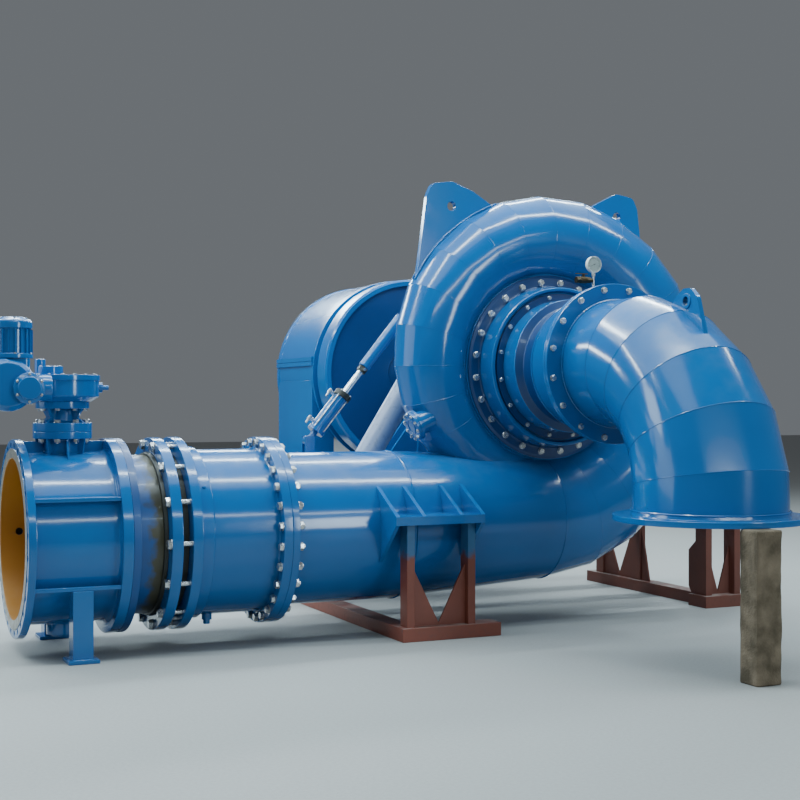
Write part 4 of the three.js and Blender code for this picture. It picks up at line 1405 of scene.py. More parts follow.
@dataclass
class DismantlingJoint:
    """Telescoping joint: inner pipe, gland flange, tie rods and sleeve."""

    start: float = 0.5623
    flange_end: float = 0.605
    inner_end: float = 1.35
    gland: tuple[float, float] = (0.774, 0.836)
    gland_reach: float = 0.56
    seal: float = 0.474
    collar: tuple[float, float] = (0.892, 0.949)
    collar_reach: float = 0.5625
    wide: float = 0.505
    step: float = 1.03
    narrow: float = 0.487
    flange: tuple[float, float] = (1.422, 1.475)
    thread: float = 0.03
    rods: int = 14
    rod_circle: float = 0.525
    rod_turn: float = 0.03

    def build(self) -> None:
        """Builds the joint from the valve to the inlet pipe's flange."""
        place = along_line()
        tube = rounded([
            (BORE, self.start), (FLANGE, self.start), (FLANGE, self.flange_end, 0.004),
            (PIPE, self.flange_end, 0.01), (PIPE, self.inner_end), (BORE, self.inner_end),
        ])
        band = Overspray(
            "inner_pipe_overspray", "oiled_steel", (0.085, 0.075, 0.035, 1), (0.01, 0.011, 0.008, 1),
            gloss=0.3, coat=0.1, other=(0.0015, 0.085, 0.31, 1), level=LINE.x + 0.69, axis=0, blur=0.025,
        )
        piece("joint_inner_tube", turned(tube, place, 144), band, replaces=["joint_inner_pipe"])
        lip = [(PIPE, 0.748), (self.seal, 0.752, 0.006), (0.478, 0.7735), (PIPE, 0.7735)]
        seal = turned(rounded(lip), place, 128)
        seal.take(ring(place, self.seal, PIPE, 0.8365, 0.8915, 128))
        piece("joint_seal", seal, BLACK)
        inner, outer = PIPE + 0.001, self.gland_reach
        low, high = self.gland
        gland = [(inner, low), (outer, low, 0.005), (outer, high, 0.005), (inner, high)]
        piece("joint_gland", turned(rounded(gland), place, 144), BLUE, replaces=["gland_flange"])
        piece("joint_tie_rods", self.tie_rods(), BRIGHT)
        sleeve = rounded([
            (inner, self.collar[0]), (self.collar_reach, self.collar[0], 0.005),
            (self.collar_reach, self.collar[1], 0.005), (self.wide, self.collar[1], 0.012),
            (self.wide, self.step, 0.006), (self.narrow, self.step + 0.004, 0.006),
            (self.narrow, self.flange[0], 0.012), (FLANGE, self.flange[0], 0.004),
            (FLANGE, self.flange[1], 0.004), (BORE, self.flange[1]), (BORE, 1.4, 0), (inner, 1.39, 0),
        ])
        shape = turned(sleeve, place, 144)
        shape.take(ring_weld(place, 0.507, self.collar[1] + 0.003, 0.006))
        shape.take(ring_weld(place, 0.488, self.flange[0] - 0.002, 0.007))
        drain = aim(on_line(1.11, -0.06, 0), DOWN)
        shape.take(rod(drain, 0.03, 0.46, 0.515, 32), rod(drain, 0.022, 0.51, 0.54, 6, 0.003))
        for angle in (35, 145, 270):
            turn = math.radians(angle)
            plug = aim(on_line(0.99, 0, 0), Vector((0, math.cos(turn), math.sin(turn))))
            shape.take(rod(plug, 0.012, 0.5, 0.513, 6, 0.002))
        piece("joint_outer_sleeve", shape, BLUE, replaces=["joint_sleeve"])
        near = along_line(self.flange[0])
        heads = bolt_circle(near, BOLT_CIRCLE, FLANGE_BOLTS, FLANGE_BOLT, Head.HEAD, flip=True)
        nuts = bolt_circle(along_line(InletPipe.flange_end), BOLT_CIRCLE, FLANGE_BOLTS, FLANGE_BOLT, Head.NUT)
        piece("pipe_flange_bolts", heads.take(nuts), BRIGHT)
        gasket = ring(place, 0.545, BORE + 0.002, self.flange[1] - 0.0015, self.flange[1] + 0.0018, 128)
        piece("pipe_flange_gasket", gasket, BLACK)

    def tie_rods(self) -> Shape:
        """Threaded rods from the gland into the collar, with their heads.

        Returns:
            The rods as one shape.
        """
        shape = Shape()
        facing = Matrix.Translation((0, 0, self.gland[0])) @ HALF_TURN
        for i, angle in enumerate(even_turns(self.rods)):
            turn = angle + self.rod_turn
            across = Vector((0, -math.cos(turn), -math.sin(turn))) * self.rod_circle
            place = Matrix.Translation(on_line(0, 0, 0) + across) @ Matrix(Axis.LINE.value).to_4x4()
            shape.take(rod(place, self.thread / 2, self.gland[0] - 0.012, self.collar[0] + 0.03, 16))
            shape.take(hex_end(self.thread, Head.HEAD, 0.5 * i).placed(place @ facing))
        return shape


@dataclass
class InletPipe:
    """Plain pipe between the joint and the spiral case."""

    start: float = 1.4753
    flange_end: float = 1.52
    end: float = 2.3

    def build(self) -> None:
        """Builds the pipe with its flange and seams."""
        place = along_line()
        profile = rounded([
            (BORE, self.start), (FLANGE, self.start, 0.004), (FLANGE, self.flange_end, 0.004),
            (PIPE, self.flange_end, 0.012), (PIPE, self.end + 0.002, 0), (BORE, self.end + 0.002, 0),
        ])
        shape = turned(profile, place, 144)
        shape.take(ring_weld(place, PIPE, self.flange_end + 0.004, 0.007))
        turn = math.radians(118)
        ends = (self.flange_end + 0.01, self.end)
        seam = [on_line(x, -PIPE * math.cos(turn), PIPE * math.sin(turn)) for x in ends]
        shape.take(weld(seam, 0.0035, closed=False))
        piece("inlet_pipe_tube", shape, BLUE, replaces=["inlet_pipe"])


@dataclass
class SpiralCase:
    """Spiral case of conical strakes, its inlet taper, lugs and manhole."""

    start: float = -90.0
    end: float = 255.0
    strakes: int = 23
    stay: float = 0.6
    stay_inner: float = 0.5
    stay_gap: float = 0.15
    stay_half: float = 0.18
    wall: float = 0.012
    arc_points: int = 56
    largest: float = 1.0
    growth: float = 0.4 / 280
    taper_wall: float = 0.01
    lug_half: float = 0.02
    lug_arc: tuple[float, float] = (16.0, 58.0)

    def section(self, degrees: float) -> tuple[float, float]:
        """Distance of a section's centre from the shaft, and its radius.

        Args:
            degrees: angle of the section, from +X towards +Z.

        Returns:
            Centre distance and radius, in metres.
        """
        outer = self.largest + (180 - degrees) * self.growth
        chord = self.stay**2 + self.stay_gap**2
        centre = (outer * outer - chord) / (2 * (outer - self.stay))
        return centre, outer - centre

    def arc(self, degrees: float, grow: float) -> list[Vector]:
        """Points round one open section, from its front edge to its rear edge.

        Args:
            degrees: angle of the section.
            grow: added to its radius, in metres.

        Returns:
            The points in order.
        """
        centre, radius = self.section(degrees)
        angle = math.radians(degrees)
        tube = radius + grow
        opening = math.acos(min(1.0, (centre - self.stay) / tube))
        points = []
        for i in range(self.arc_points + 1):
            turn = (math.pi - opening) * (1 - 2 * i / self.arc_points)
            out = centre + tube * math.cos(turn)
            points.append(on_shaft(out * math.cos(angle), -tube * math.sin(turn), out * math.sin(angle)))
        return points

    def case(self) -> None:
        """The case's plate wall and the welds between its strakes."""
        step = (self.end - self.start) / self.strakes
        angles = [self.start + i * step for i in range(self.strakes + 1)]
        loops = [self.arc(a, 0) + list(reversed(self.arc(a, -self.wall))) for a in angles]
        shape = loft(loops)
        for angle in angles[1:]:
            shape.take(weld(self.arc(angle, -0.0012)[2:-2], 0.0022, closed=False))
        place = along_shaft()
        for side in (-1, 1):
            shape.take(ring_weld(place, self.stay + 0.004, side * (self.stay_gap + 0.004), 0.011))
        piece("spiral_case_plate", shape, BLUE, replaces=CASE_NODES, crease=9.5)

    def taper_loop(self, share: float, grow: float) -> list[Vector]:
        """Points round the inlet taper.

        Args:
            share: 0 at the pipe, 1 at the first section.
            grow: added to the radius, in metres.

        Returns:
            The points of the loop.
        """
        centre, radius = self.section(self.start)
        start = on_line(InletPipe.end, 0, 0).x - TURBINE.x
        low = LINE.z - TURBINE.z
        tube = PIPE + (radius - PIPE) * share + grow
        height = low + (-centre - low) * share
        x = start * (1 - share) + 0.0005
        return [on_shaft(x, tube * math.sin(t), height + tube * math.cos(t)) for t in even_turns(128)]

    def taper(self) -> None:
        """Inlet taper from the pipe to the first section."""
        outside, inside = (
            [self.taper_loop(share, grow) for share in (0.0, 1.0)] for grow in (0.0, -self.taper_wall)
        )
        cutter = rod(along_shaft(), self.stay + 0.001, -self.stay_half, self.stay_half, 128)
        shape = drilled(shell_loft(outside, inside), cutter)
        shape.take(weld(outside[0], 0.0065))
        clear = self.stay + 0.01
        bead = [point for point in outside[1] if (point - TURBINE).xz.length > clear]
        shape.take(weld(bead, 0.006, closed=False))
        piece("inlet_taper_plate", shape, BLUE, replaces=["spiral_inlet_taper"])

    def stay_ring(self) -> None:
        """Stay ring with its two rims and vanes."""
        place = along_shaft()
        shape = ring(place, self.stay, self.stay_inner, -self.stay_half, -self.stay_gap + 0.03)
        shape.take(ring(place, self.stay, self.stay_inner, self.stay_gap - 0.03, self.stay_half))
        outline = [(-0.045, -0.008), (-0.02, -0.014), (0.045, 0.0), (-0.02, 0.014), (-0.045, 0.008)]
        lean = Matrix.Rotation(math.radians(60), 4, "Z")
        for angle in even_turns(8):
            turn = Matrix.Rotation(angle, 4, "Z") @ Matrix.Translation((0.548, 0, 0))
            shape.take(plate(rounded(outline, 0.004), place @ turn @ lean, -0.125, 0.125))
        piece("stay_ring_casting", shape, BLUE, replaces=["stay_ring"])

    def lugs(self) -> None:
        """Two lifting lugs with shackle holes, rounded corners and welds."""
        left = [(-0.88, 0.5), (-0.8, 1.09, 0.09), (-0.765, 1.17, 0.06), (-0.62, 1.19, 0.07)]
        left += [(-0.47, 1.135, 0.1), (-0.28, 1.02), (-0.25, 0.8), (-0.6, 0.5)]
        right = [(0.86, 0.5), (0.79, 1.09, 0.09), (0.755, 1.165, 0.06), (0.62, 1.185, 0.07)]
        right += [(0.47, 1.11, 0.1), (0.3, 1.02), (0.27, 0.8), (0.6, 0.5)]
        plane = along_shaft()
        for name, side, outline in (("lifting_lug_left", -1, left), ("lifting_lug_right", 1, right)):
            body = plate(rounded(outline, 0.004, 6), plane, -self.lug_half, self.lug_half)
            hole = rod(plane @ Matrix.Translation((side * 0.626, 1.03, 0)), 0.03, -0.05, 0.05, 40, 0.0)
            shape = drilled(body, hole)
            for face in (-self.lug_half, self.lug_half):
                shape.take(weld(self.lug_seam(side, face), 0.007, closed=False))
            piece(name + "_plate", shape, BLUE, replaces=[name], crease=40, bevel=0.002)

    def lug_seam(self, side: int, face: float) -> list[Vector]:
        """Where a lug's face meets the case, from its outer to its inner end.

        Args:
            side: -1 for the left lug, 1 for the right one.
            face: place of the face along the shaft, in metres.

        Returns:
            The points in order.
        """
        path = []
        first, last = self.lug_arc
        steps = 27
        for i in range(steps + 1):
            degrees = 90 - side * (first + i * (last - first) / steps)
            centre, radius = self.section(degrees)
            out = centre + math.sqrt(radius**2 - face**2)
            angle = math.radians(degrees)
            path.append(on_shaft(out * math.cos(angle), -face, out * math.sin(angle)))
        return path

    def manhole(self) -> None:
        """Inspection hole with its cover and bolts."""
        lean = math.radians(202)
        place = aim(on_shaft(0, -0.1, 0), Vector((math.cos(lean), 0, math.sin(lean))))
        neck = ring(place, 0.073, 0.05, 0.88, 0.978, 56).take(ring(place, 0.096, 0.05, 0.978, 1.0, 56))
        piece("manhole_stub", neck, BLUE, replaces=["manhole_neck"])
        cover = rod(place, 0.095, 1.0005, 1.02, 56, 0.003)
        cover.take(ring(place, 0.05, 0.04, 1.019, 1.024, 40))
        piece("manhole_lid", cover, BLUE, replaces=["manhole_cover"])
        bolts = bolt_circle(raised(place, 1.02), 0.081, 10, 0.012, Head.HEAD)
        piece("manhole_bolts", bolts, BRIGHT)

    def build(self) -> None:
        """Builds the case with all that is welded to it."""
        self.case()
        self.taper()
        self.stay_ring()
        self.lugs()
        self.manhole()


@dataclass
class Covers:
    """Front cover, its ring, the draft cone and the head cover behind."""

    face: float = 0.1803
    cover: float = 0.594
    hub: float = 0.517
    hub_face: float = 0.3123
    bore: float = 0.345
    groove: tuple[float, float] = (0.478, 0.618)
    cone_end: float = 0.392
    flange: float = 0.48
    flange_start: float = 0.92
    flange_bolts: float = 0.446

    def front(self) -> None:
        """Front cover with its conical hub and the small bolted ring."""
        place = along_shaft()
        front = rounded([
            (self.bore, self.face), (self.cover, self.face), (self.cover, 0.193, 0.004),
            (0.575, 0.2, 0.003), (0.519, 0.2, 0.016), (0.506, 0.338, 0.006), (0.5, 0.345, 0.004),
            (0.484, 0.345, 0.004), (0.476, 0.312, 0.004), (self.bore, 0.312),
        ], steps=4)
        # Outside the hub the plate takes the dark blue as painted shade.
        shape = turned(front, place, 144).painted(1, self.painted_shade_beyond_hub)
        piece("front_cover_plate", shape, BLUE, DEEP_BLUE_AND_PAINTED_SHADE, replaces=["front_cover"])
        # The small ring lies in the hub's recess; its dark blue is painted shade.
        small = ring(place, 0.465, self.bore, self.hub_face, 0.332, 128)
        piece("cover_ring_plate", small, DEEP_BLUE_AND_PAINTED_SHADE, replaces=["cover_ring"])
        bolts = bolt_circle(along_shaft(0.2), 0.549, 24, 0.022, Head.HEAD)
        bolts.take(bolt_circle(along_shaft(0.332), 0.444, 16, 0.014, Head.HEAD))
        piece("front_cover_bolts", bolts, BRIGHT)

    def painted_shade_beyond_hub(self, point: Vector) -> bool:
        """Whether a point is on the bolted plate of the cover, outside its hub, where shade is painted."""
        away = point - TURBINE
        return math.hypot(away.x, away.z) > self.hub

    def painted_shade_in_groove(self, point: Vector) -> bool:
        """Whether a point is in the groove of the draft cone, where shade is painted."""
        low, high = self.groove
        return low < TURBINE.y - point.y < high

    def cone(self) -> None:
        """Draft cone with its groove, flange and bolts to the elbow."""
        place = along_shaft()
        profile = rounded([
            (self.bore, 0.3323), (0.42, 0.3323, 0.003), (0.42, 0.476, 0.008), (0.37, 0.5, 0.012),
            (0.368, 0.6, 0.012), (0.39, 0.62, 0.01), (self.cone_end, self.flange_start, 0.012),
            (self.flange, self.flange_start, 0.003), (self.flange, 0.9435, 0.003),
            (self.bore + 0.015, 0.9435),
        ], steps=4)
        # The groove takes the dark blue as painted shade.
        shape = turned(profile, place, 144).painted(1, self.painted_shade_in_groove)
        shape.take(ring_weld(place, self.cone_end, 0.917, 0.006))
        shape.take(ring_weld(place, self.cone_end, 0.64, 0.004))
        piece("draft_cone_plate", shape, BLUE, DEEP_BLUE_AND_PAINTED_SHADE, replaces=["draft_cone"])
        joint = ring(place, 0.474, self.bore + 0.02, 0.9432, 0.9456, 128)
        piece("draft_flange_gasket", joint, BLACK)
        bolts = bolt_circle(along_shaft(0.97), self.flange_bolts, 16, 0.02, Head.HEAD)
        nuts = bolt_circle(along_shaft(self.flange_start), self.flange_bolts, 16, 0.02, Head.NUT, flip=True)
        piece("draft_flange_bolts", bolts.take(nuts), BRIGHT)

    def rear(self) -> None:
        """Head cover behind the case, up to the seat of the regulating ring."""
        place = along_shaft()
        profile = rounded([
            (0.12, -0.1803), (0.12, -0.795), (0.4965, -0.795, 0.004), (0.4965, -0.7147, 0),
            (0.54, -0.7147), (0.54, -0.7), (0.44, -0.7, 0.01), (0.44, -0.3, 0.02),
            (0.46, -0.225, 0.01), (self.cover, -0.225, 0.004), (self.cover, -0.1803),
        ], steps=4)
        shape = turned(profile, place, 144)
        web = [(0.43, -0.23), (0.5, -0.225), (0.452, -0.36), (0.43, -0.36)]
        for angle in even_turns(12):
            shape.take(plate(web, fin(place, angle), -0.007, 0.007))
        piece("head_cover_casting", shape, BLUE, replaces=["head_cover"])
        bolts = bolt_circle(along_shaft(-0.225), 0.53, 24, 0.027, Head.NUT, flip=True)
        bolts.take(bolt_circle(along_shaft(-0.795), 0.2, 12, 0.016, Head.HEAD, flip=True))
        seal = ring(place, 0.165, 0.1115, -0.83, -0.794, 72)
        piece("head_cover_bolts", bolts, BRIGHT)
        piece("shaft_seal", seal, MACHINED)

    def build(self) -> None:
        """Builds both covers and the cone."""
        self.front()
        self.cone()
        self.rear()


@dataclass
class DraftElbow:
    """Mitred elbow with its flanges and lug."""

    flange_face: float = 0.945
    bend: float = 0.76
    bend_start: float = 1.12
    seams: int = 5
    inlet: float = 0.377
    outlet: float = 0.416
    wall: float = 0.01
    foot: float = 0.865
    foot_flange: float = 0.52
    foot_thick: float = 0.053
    lug_hole: float = 0.025
    sides: int = 96

    def loops(self, grow: float) -> list[list[Vector]]:
        """Loops at the two ends and at each seam.

        Args:
            grow: added to the radius, in metres.

        Returns:
            The loops from the flange to the foot.
        """
        half = math.radians(45 / self.seams)
        reach = self.bend / math.cos(half)
        stations = [(0.0, -self.flange_face - 0.0003, 0.0, 1.0)]
        for i in range(self.seams):
            angle = math.radians(90 / self.seams * (i + 0.5))
            y = -self.bend_start - reach * math.sin(angle)
            stations.append((angle, y, -self.bend + reach * math.cos(angle), 1 / math.cos(half)))
        stations.append((math.pi / 2, -self.bend_start - self.bend, -self.foot, 1.0))
        result = []
        for i, (angle, y, z, stretch) in enumerate(stations):
            tube = self.inlet + (self.outlet - self.inlet) * i / (len(stations) - 1) + grow
            loop = []
            for turn in even_turns(self.sides):
                out = tube * stretch * math.sin(turn)
                loop.append(
                    on_shaft(tube * math.cos(turn), y - out * math.sin(angle), z + out * math.cos(angle))
                )
            result.append(loop)
        return result

    def build(self) -> None:
        """Builds the elbow's plate, seams, flanges and lug."""
        outside = self.loops(0)
        shape = shell_loft(outside, self.loops(-self.wall))
        for loop in outside[1:-1]:
            shape.take(weld(loop, 0.0022))
        place = along_shaft()
        collar = [(0.368, 0.9453), (0.48, 0.9453, 0.003), (0.48, 0.97, 0.004), (0.376, 0.97, 0.002)]
        shape.take(turned(rounded(collar), place, 128))
        shape.take(ring_weld(place, self.inlet + 0.003, 0.974, 0.007))
        piece("draft_elbow_plate", shape, BLUE, replaces=ELBOW_NODES, crease=8.0)
        foot = aim(on_shaft(0, -self.bend_start - self.bend, -self.foot), UP)
        flange = rounded([
            (self.outlet - self.wall, 0), (self.foot_flange, 0, 0.004),
            (self.foot_flange, self.foot_thick * 0.62, 0.005),
            (self.outlet + 0.012, self.foot_thick * 0.62, 0.004),
            (self.outlet + 0.006, self.foot_thick, 0.004), (self.outlet - self.wall, self.foot_thick),
        ])
        holes = hole_circle(foot, 0.48, 20, 0.013, -0.02, 0.08)
        shape = drilled(turned(flange, foot, 128), holes)
        shape.take(weld(circle(foot, self.outlet + 0.004, self.foot_thick + 0.002), 0.006))
        piece("elbow_foot_flange", shape, BLUE, replaces=["elbow_flange"])
        self.lug()

    def lug(self) -> None:
        """Lifting lug on the elbow's back."""
        plane = Matrix.Translation(TURBINE) @ Matrix(((0, 0, 1), (1, 0, 0), (0, 1, 0))).to_4x4()
        outline = [
            (-1.5, 0.23), (-1.543, 0.315, 0.03), (-1.615, 0.372, 0.05), (-1.655, 0.398, 0.04),
            (-1.72, 0.398, 0.05), (-1.78, 0.345, 0.06), (-1.849, 0.12, 0.02), (-1.72, 0.1),
        ]
        body = plate(rounded(outline, 0.003, 6), plane, -0.013, 0.013)
        eye = plane @ Matrix.Translation((-1.682, 0.327, 0))
        shape = drilled(body, rod(eye, self.lug_hole, -0.05, 0.05, 40, 0.0))
        shape.take(ring(eye, 0.043, self.lug_hole, -0.019, 0.019, 40))
        piece("elbow_lug_plate", shape, BLUE, replaces=["elbow_lug"], crease=40)


@dataclass
class GaugeSet:
    """Pressure gauge and cock on the draft cone."""

    front: float = 0.715
    dial_height: float = 0.617
    dial: float = 0.05
    glass: float = 0.0455
    cock_height: float = 0.52

    def build(self) -> None:
        """Builds the gauge, its dial and the cock."""
        face = along_shaft(self.front) @ Matrix.Translation((0, self.dial_height, 0))
        case = [(0, -0.016, 0), (0.046, -0.016, 0.004), (self.dial, -0.01, 0.003), (self.dial, 0.016, 0.003)]
        case += [(0.046, 0.016, 0.002), (0.046, 0.009, 0), (0, 0.009, 0)]
        shape = turned(rounded(case), face, 64)
        up = aim(on_shaft(0, -self.front, 0), UP)
        stem = Shape().take(rod(up, 0.008, 0.47, 0.58, 20), rod(up, 0.014, 0.388, 0.43, 6, 0.002))
        stem.take(rod(up, 0.012, 0.43, 0.476, 24, 0.003), rod(up, 0.013, 0.545, 0.57, 6, 0.002))
        shape.take(stem.painted(1))
        shape.take(rod(face, self.glass, 0.0085, 0.0095, 64, 0.0).painted(2))
        shape.take(self.marks(face).painted(3))
        piece("pressure_gauge_case", shape, DIAL, BRIGHT, DIAL, INK, replaces=["pressure_gauge"])
        piece("pressure_gauge_glass", rod(face, self.glass, 0.0125, 0.0145, 64, 0.0005), GLASS)
        across = aim(on_shaft(0, -self.front, self.cock_height), LEFT)
        cock = Shape().take(rod(across, 0.013, 0.005, 0.03, 20), rod(across, 0.021, 0.026, 0.05, 6, 0.002))
        cock.take(rod(across, 0.022, 0.048, 0.096, 32, 0.006), rod(across, 0.022, 0.094, 0.124, 6, 0.002))
        spindle = aim(on_shaft(-0.07, -self.front, self.cock_height), UP)
        cock.take(rod(spindle, 0.009, 0.0, 0.038, 20))
        handle = [(-0.04, -0.009), (0.045, -0.007), (0.048, 0.0), (0.045, 0.007), (-0.04, 0.009)]
        top = aim(on_shaft(-0.08, -self.front, 0.555), UP)
        cock.take(plate(rounded(handle, 0.003), top, 0, 0.006))
        piece("gauge_cock_body", cock, BRASS, replaces=["gauge_cock"])

    def marks(self, face: Matrix) -> Shape:
        """Scale marks and pointer of the dial, with no lettering.

        Args:
            face: place at the dial's middle.

        Returns:
            Marks and pointer as one shape.
        """
        shape = Shape()
        for i in range(28):
            start, half = (0.033, 0.0009) if i % 3 == 0 else (0.036, 0.0005)
            turn = Matrix.Rotation(math.radians(225 - i * 10), 4, "Z")
            outline = [(start, -half), (0.041, -half), (0.041, half), (start, half)]
            shape.take(plate(outline, face @ turn, 0.0093, 0.0099))
        hand = [(-0.01, -0.0014), (0.034, -0.0004), (0.034, 0.0004), (-0.01, 0.0014)]
        shape.take(plate(hand, face @ Matrix.Rotation(math.radians(205), 4, "Z"), 0.01, 0.0107))
        return shape.take(rod(face, 0.0035, 0.0093, 0.0115, 20, 0.0005))


@dataclass
class RegulatingGear:
    """Regulating ring with its servomotor, link and stand, and the relief pipe."""

    ring_y: float = 0.75
    inner: float = 0.5
    outer: float = 0.62
    half: float = 0.035
    pin_radius: float = 0.715
    slope: float = 50.8
    length: float = 1.21
    levers: int = 16
    lever_circle: float = 0.56
    relief_y: float = 0.56

    def direction(self) -> Vector:
        """Direction of the servomotor's axis."""
        turn = math.radians(self.slope)
        return Vector((math.cos(turn), 0, math.sin(turn)))

    def pin(self) -> Vector:
        """The pin where the link meets the ring."""
        way = self.direction()
        return on_shaft(-self.pin_radius * way.z, self.ring_y, self.pin_radius * way.x)

    def axis(self) -> Matrix:
        """Place at the servomotor's foot, local Z towards the pin."""
        return aim(self.pin() - self.direction() * self.length, self.direction())

    def cross(self, distance: float) -> Matrix:
        """Place of a pin across the servomotor's axis, local Z along the shaft."""
        return aim(self.axis() @ Vector((0, 0, distance)), BACK)

    def ring_piece(self) -> None:
        """Ring with its two cheeks and pin, and nuts on the circle of the guide levers."""
        place = along_shaft(-self.ring_y)
        inner = self.inner - 0.0005
        body = [(inner, -self.half), (self.outer, -self.half, 0.005)]
        body += [(self.outer, self.half, 0.005), (inner, self.half)]
        shape = turned(rounded(body), place, 144)
        edge = ((0.5, -0.1), (0.8, -0.1), (0.98, -0.046), (1.045, -0.04))
        outline = [(share * self.pin_radius, v) for share, v in edge]
        outline += [(u, -v) for u, v in reversed(outline)]
        tilt = place @ Matrix.Rotation(math.radians(90 + self.slope), 4, "Z")
        for side in (-1, 1):
            cheek = plate(rounded(outline, 0.02, 5), tilt, *span(side, 0.018, 0.034))
            shape.take(drilled(cheek, rod(place, self.lever_circle, -0.1, 0.1, 96)))
        bolt = aim(self.pin(), FRONT)
        pin = rod(bolt, 0.014, -0.05, 0.05, 24)
        pin.take(rod(bolt, 0.022, 0.034, 0.042, 24), rod(bolt, 0.022, -0.042, -0.034, 24))
        shape.take(pin.painted(1))
        node = "regulating_ring"
        piece("regulating_ring_body", shape, BLUE, BRIGHT, replaces=[node], body=node, crease=36)
        face = along_shaft(-self.ring_y - self.half)
        bolts = bolt_circle(face, self.lever_circle, self.levers, 0.018, Head.NUT, flip=True)
        piece("regulating_ring_bolts", bolts, BRIGHT, body="regulating_ring")

    def servo(self) -> None:
        """Cylinder with caps and tie rods, its fittings, rod and link."""
        axis = self.axis()
        shape = turned(rounded([(0.0225, 0.1, 0), (0.05, 0.1), (0.05, 0.375), (0.0225, 0.375, 0)]), axis, 56)
        shape.take(turned(rounded([(0, 0.075, 0), (0.06, 0.075), (0.06, 0.105), (0, 0.105, 0)]), axis, 48))
        shape.take(rod(axis, 0.021, 0.03, 0.08, 32))
        eye = self.cross(0)
        shape.take(ring(eye, 0.036, 0.0183, -0.0215, 0.0215, 40))
        cap = ring(axis, 0.061, 0.0225, 0.37, 0.41, 48).painted(1)
        piece("servo_cylinder_tube", shape.take(cap), BLUE, BLACK, replaces=["servo_cylinder"])
        ties = Shape()
        tie, tie_end = 0.01, 0.405
        for i, spot in enumerate(bolt_places(axis, 0.054, 4)):
            ties.take(rod(spot, tie / 2, 0.09, tie_end, 12))
            ties.take(hex_end(tie, Head.NUT, 0.3 * i).placed(raised(spot, tie_end)))
        for distance in (0.13, 0.36):
            port = aim(axis @ Vector((0, 0, distance)), self.direction().cross(BACK))
            ties.take(rod(port, 0.012, 0.045, 0.075, 6, 0.002), rod(port, 0.009, 0.07, 0.095, 20))
            elbow = aim(port @ Vector((0, 0, 0.09)), -self.direction())
            ties.take(rod(elbow, 0.012, -0.014, 0.02, 6, 0.002), rod(elbow, 0.0085, 0.015, 0.045, 20))
        piece("servo_fittings", ties, BRIGHT)
        chrome = rod(axis, 0.022, 0.24, 0.6, 40)
        piece("servo_chrome_rod", chrome, CHROME, replaces=["servo_rod"], body="servo_rod")
        self.link(axis)

    def link(self, axis: Matrix) -> None:
        """Coupling, link tube and its eye on the ring's pin.

        Args:
            axis: place at the servomotor's foot, local Z towards the pin.
        """
        shape = rod(axis, 0.034, 0.6003, 0.645, 6, 0.003).painted(1)
        shape.take(rod(axis, 0.041, 0.64, self.length - 0.12, 48, 0.007))
        shape.take(rod(axis, 0.028, self.length - 0.124, self.length - 0.098, 6, 0.003).painted(2))
        shape.take(rod(axis, 0.013, self.length - 0.11, self.length - 0.03, 24).painted(2))
        eye = self.cross(self.length)
        shape.take(ring(eye, 0.046, 0.026, -0.0125, 0.0125, 56).painted(2))
        shape.take(rod(self.cross(0.62), 0.01, -0.058, 0.058, 20).painted(2))
        finishes = (BLUE, BLACK, BRIGHT)
        piece("servo_link_tube", shape, *finishes, replaces=["servo_link"], body="servo_rod", crease=36)

    def relief_pipe(self) -> None:
        """Relief pipe with its elbow seam and low flange."""
        low = on_shaft(-1.323, self.relief_y, -1.15)
        high = on_shaft(-0.59, self.relief_y, 0.018)
        inner = on_shaft(-0.432, self.relief_y, 0.0743)
        legs = [(high - low).normalized(), (inner - high).normalized()]
        side = legs[0].cross(legs[1]).normalized()
        outer_radius, inner_radius = 0.085, 0.077
        outside: list[list[Vector]] = []
        inside: list[list[Vector]] = []
        for i, point in enumerate((low, high, inner)):
            before = legs[max(i - 1, 0)]
            facing = (before + legs[min(i, 1)]).normalized()
            up = side.cross(facing)
            stretch = 1 / facing.dot(before)
            for radius, rows in ((outer_radius, outside), (inner_radius, inside)):
                wide, tall = side * radius, up * radius * stretch
                rows.append([point + wide * math.cos(t) + tall * math.sin(t) for t in even_turns(64)])
        shape = shell_loft(outside, inside)
        shape.take(weld(outside[1], 0.004))
        base = aim(low, legs[0])
        shape.take(ring(base, 0.11, inner_radius, 0.0, 0.03, 64))
        shape.take(ring_weld(base, 0.087, 0.032, 0.005))
        # The pipe's pale blue is painted sheen over its blue paint.
        piece("relief_pipe", shape, RELIEF_BLUE_WITH_PAINTED_SHEEN, replaces=["balance_pipe"], crease=30)
        bolts = bolt_circle(raised(base, 0.03), 0.099, 8, 0.009, Head.HEAD)
        piece("relief_pipe_bolts", bolts, BRIGHT)

    def build(self) -> None:
        """Builds the gear and dresses the stand."""
        self.ring_piece()
        self.servo()
        self.relief_pipe()
        dress("servo_stand", BLUE, 0.003)


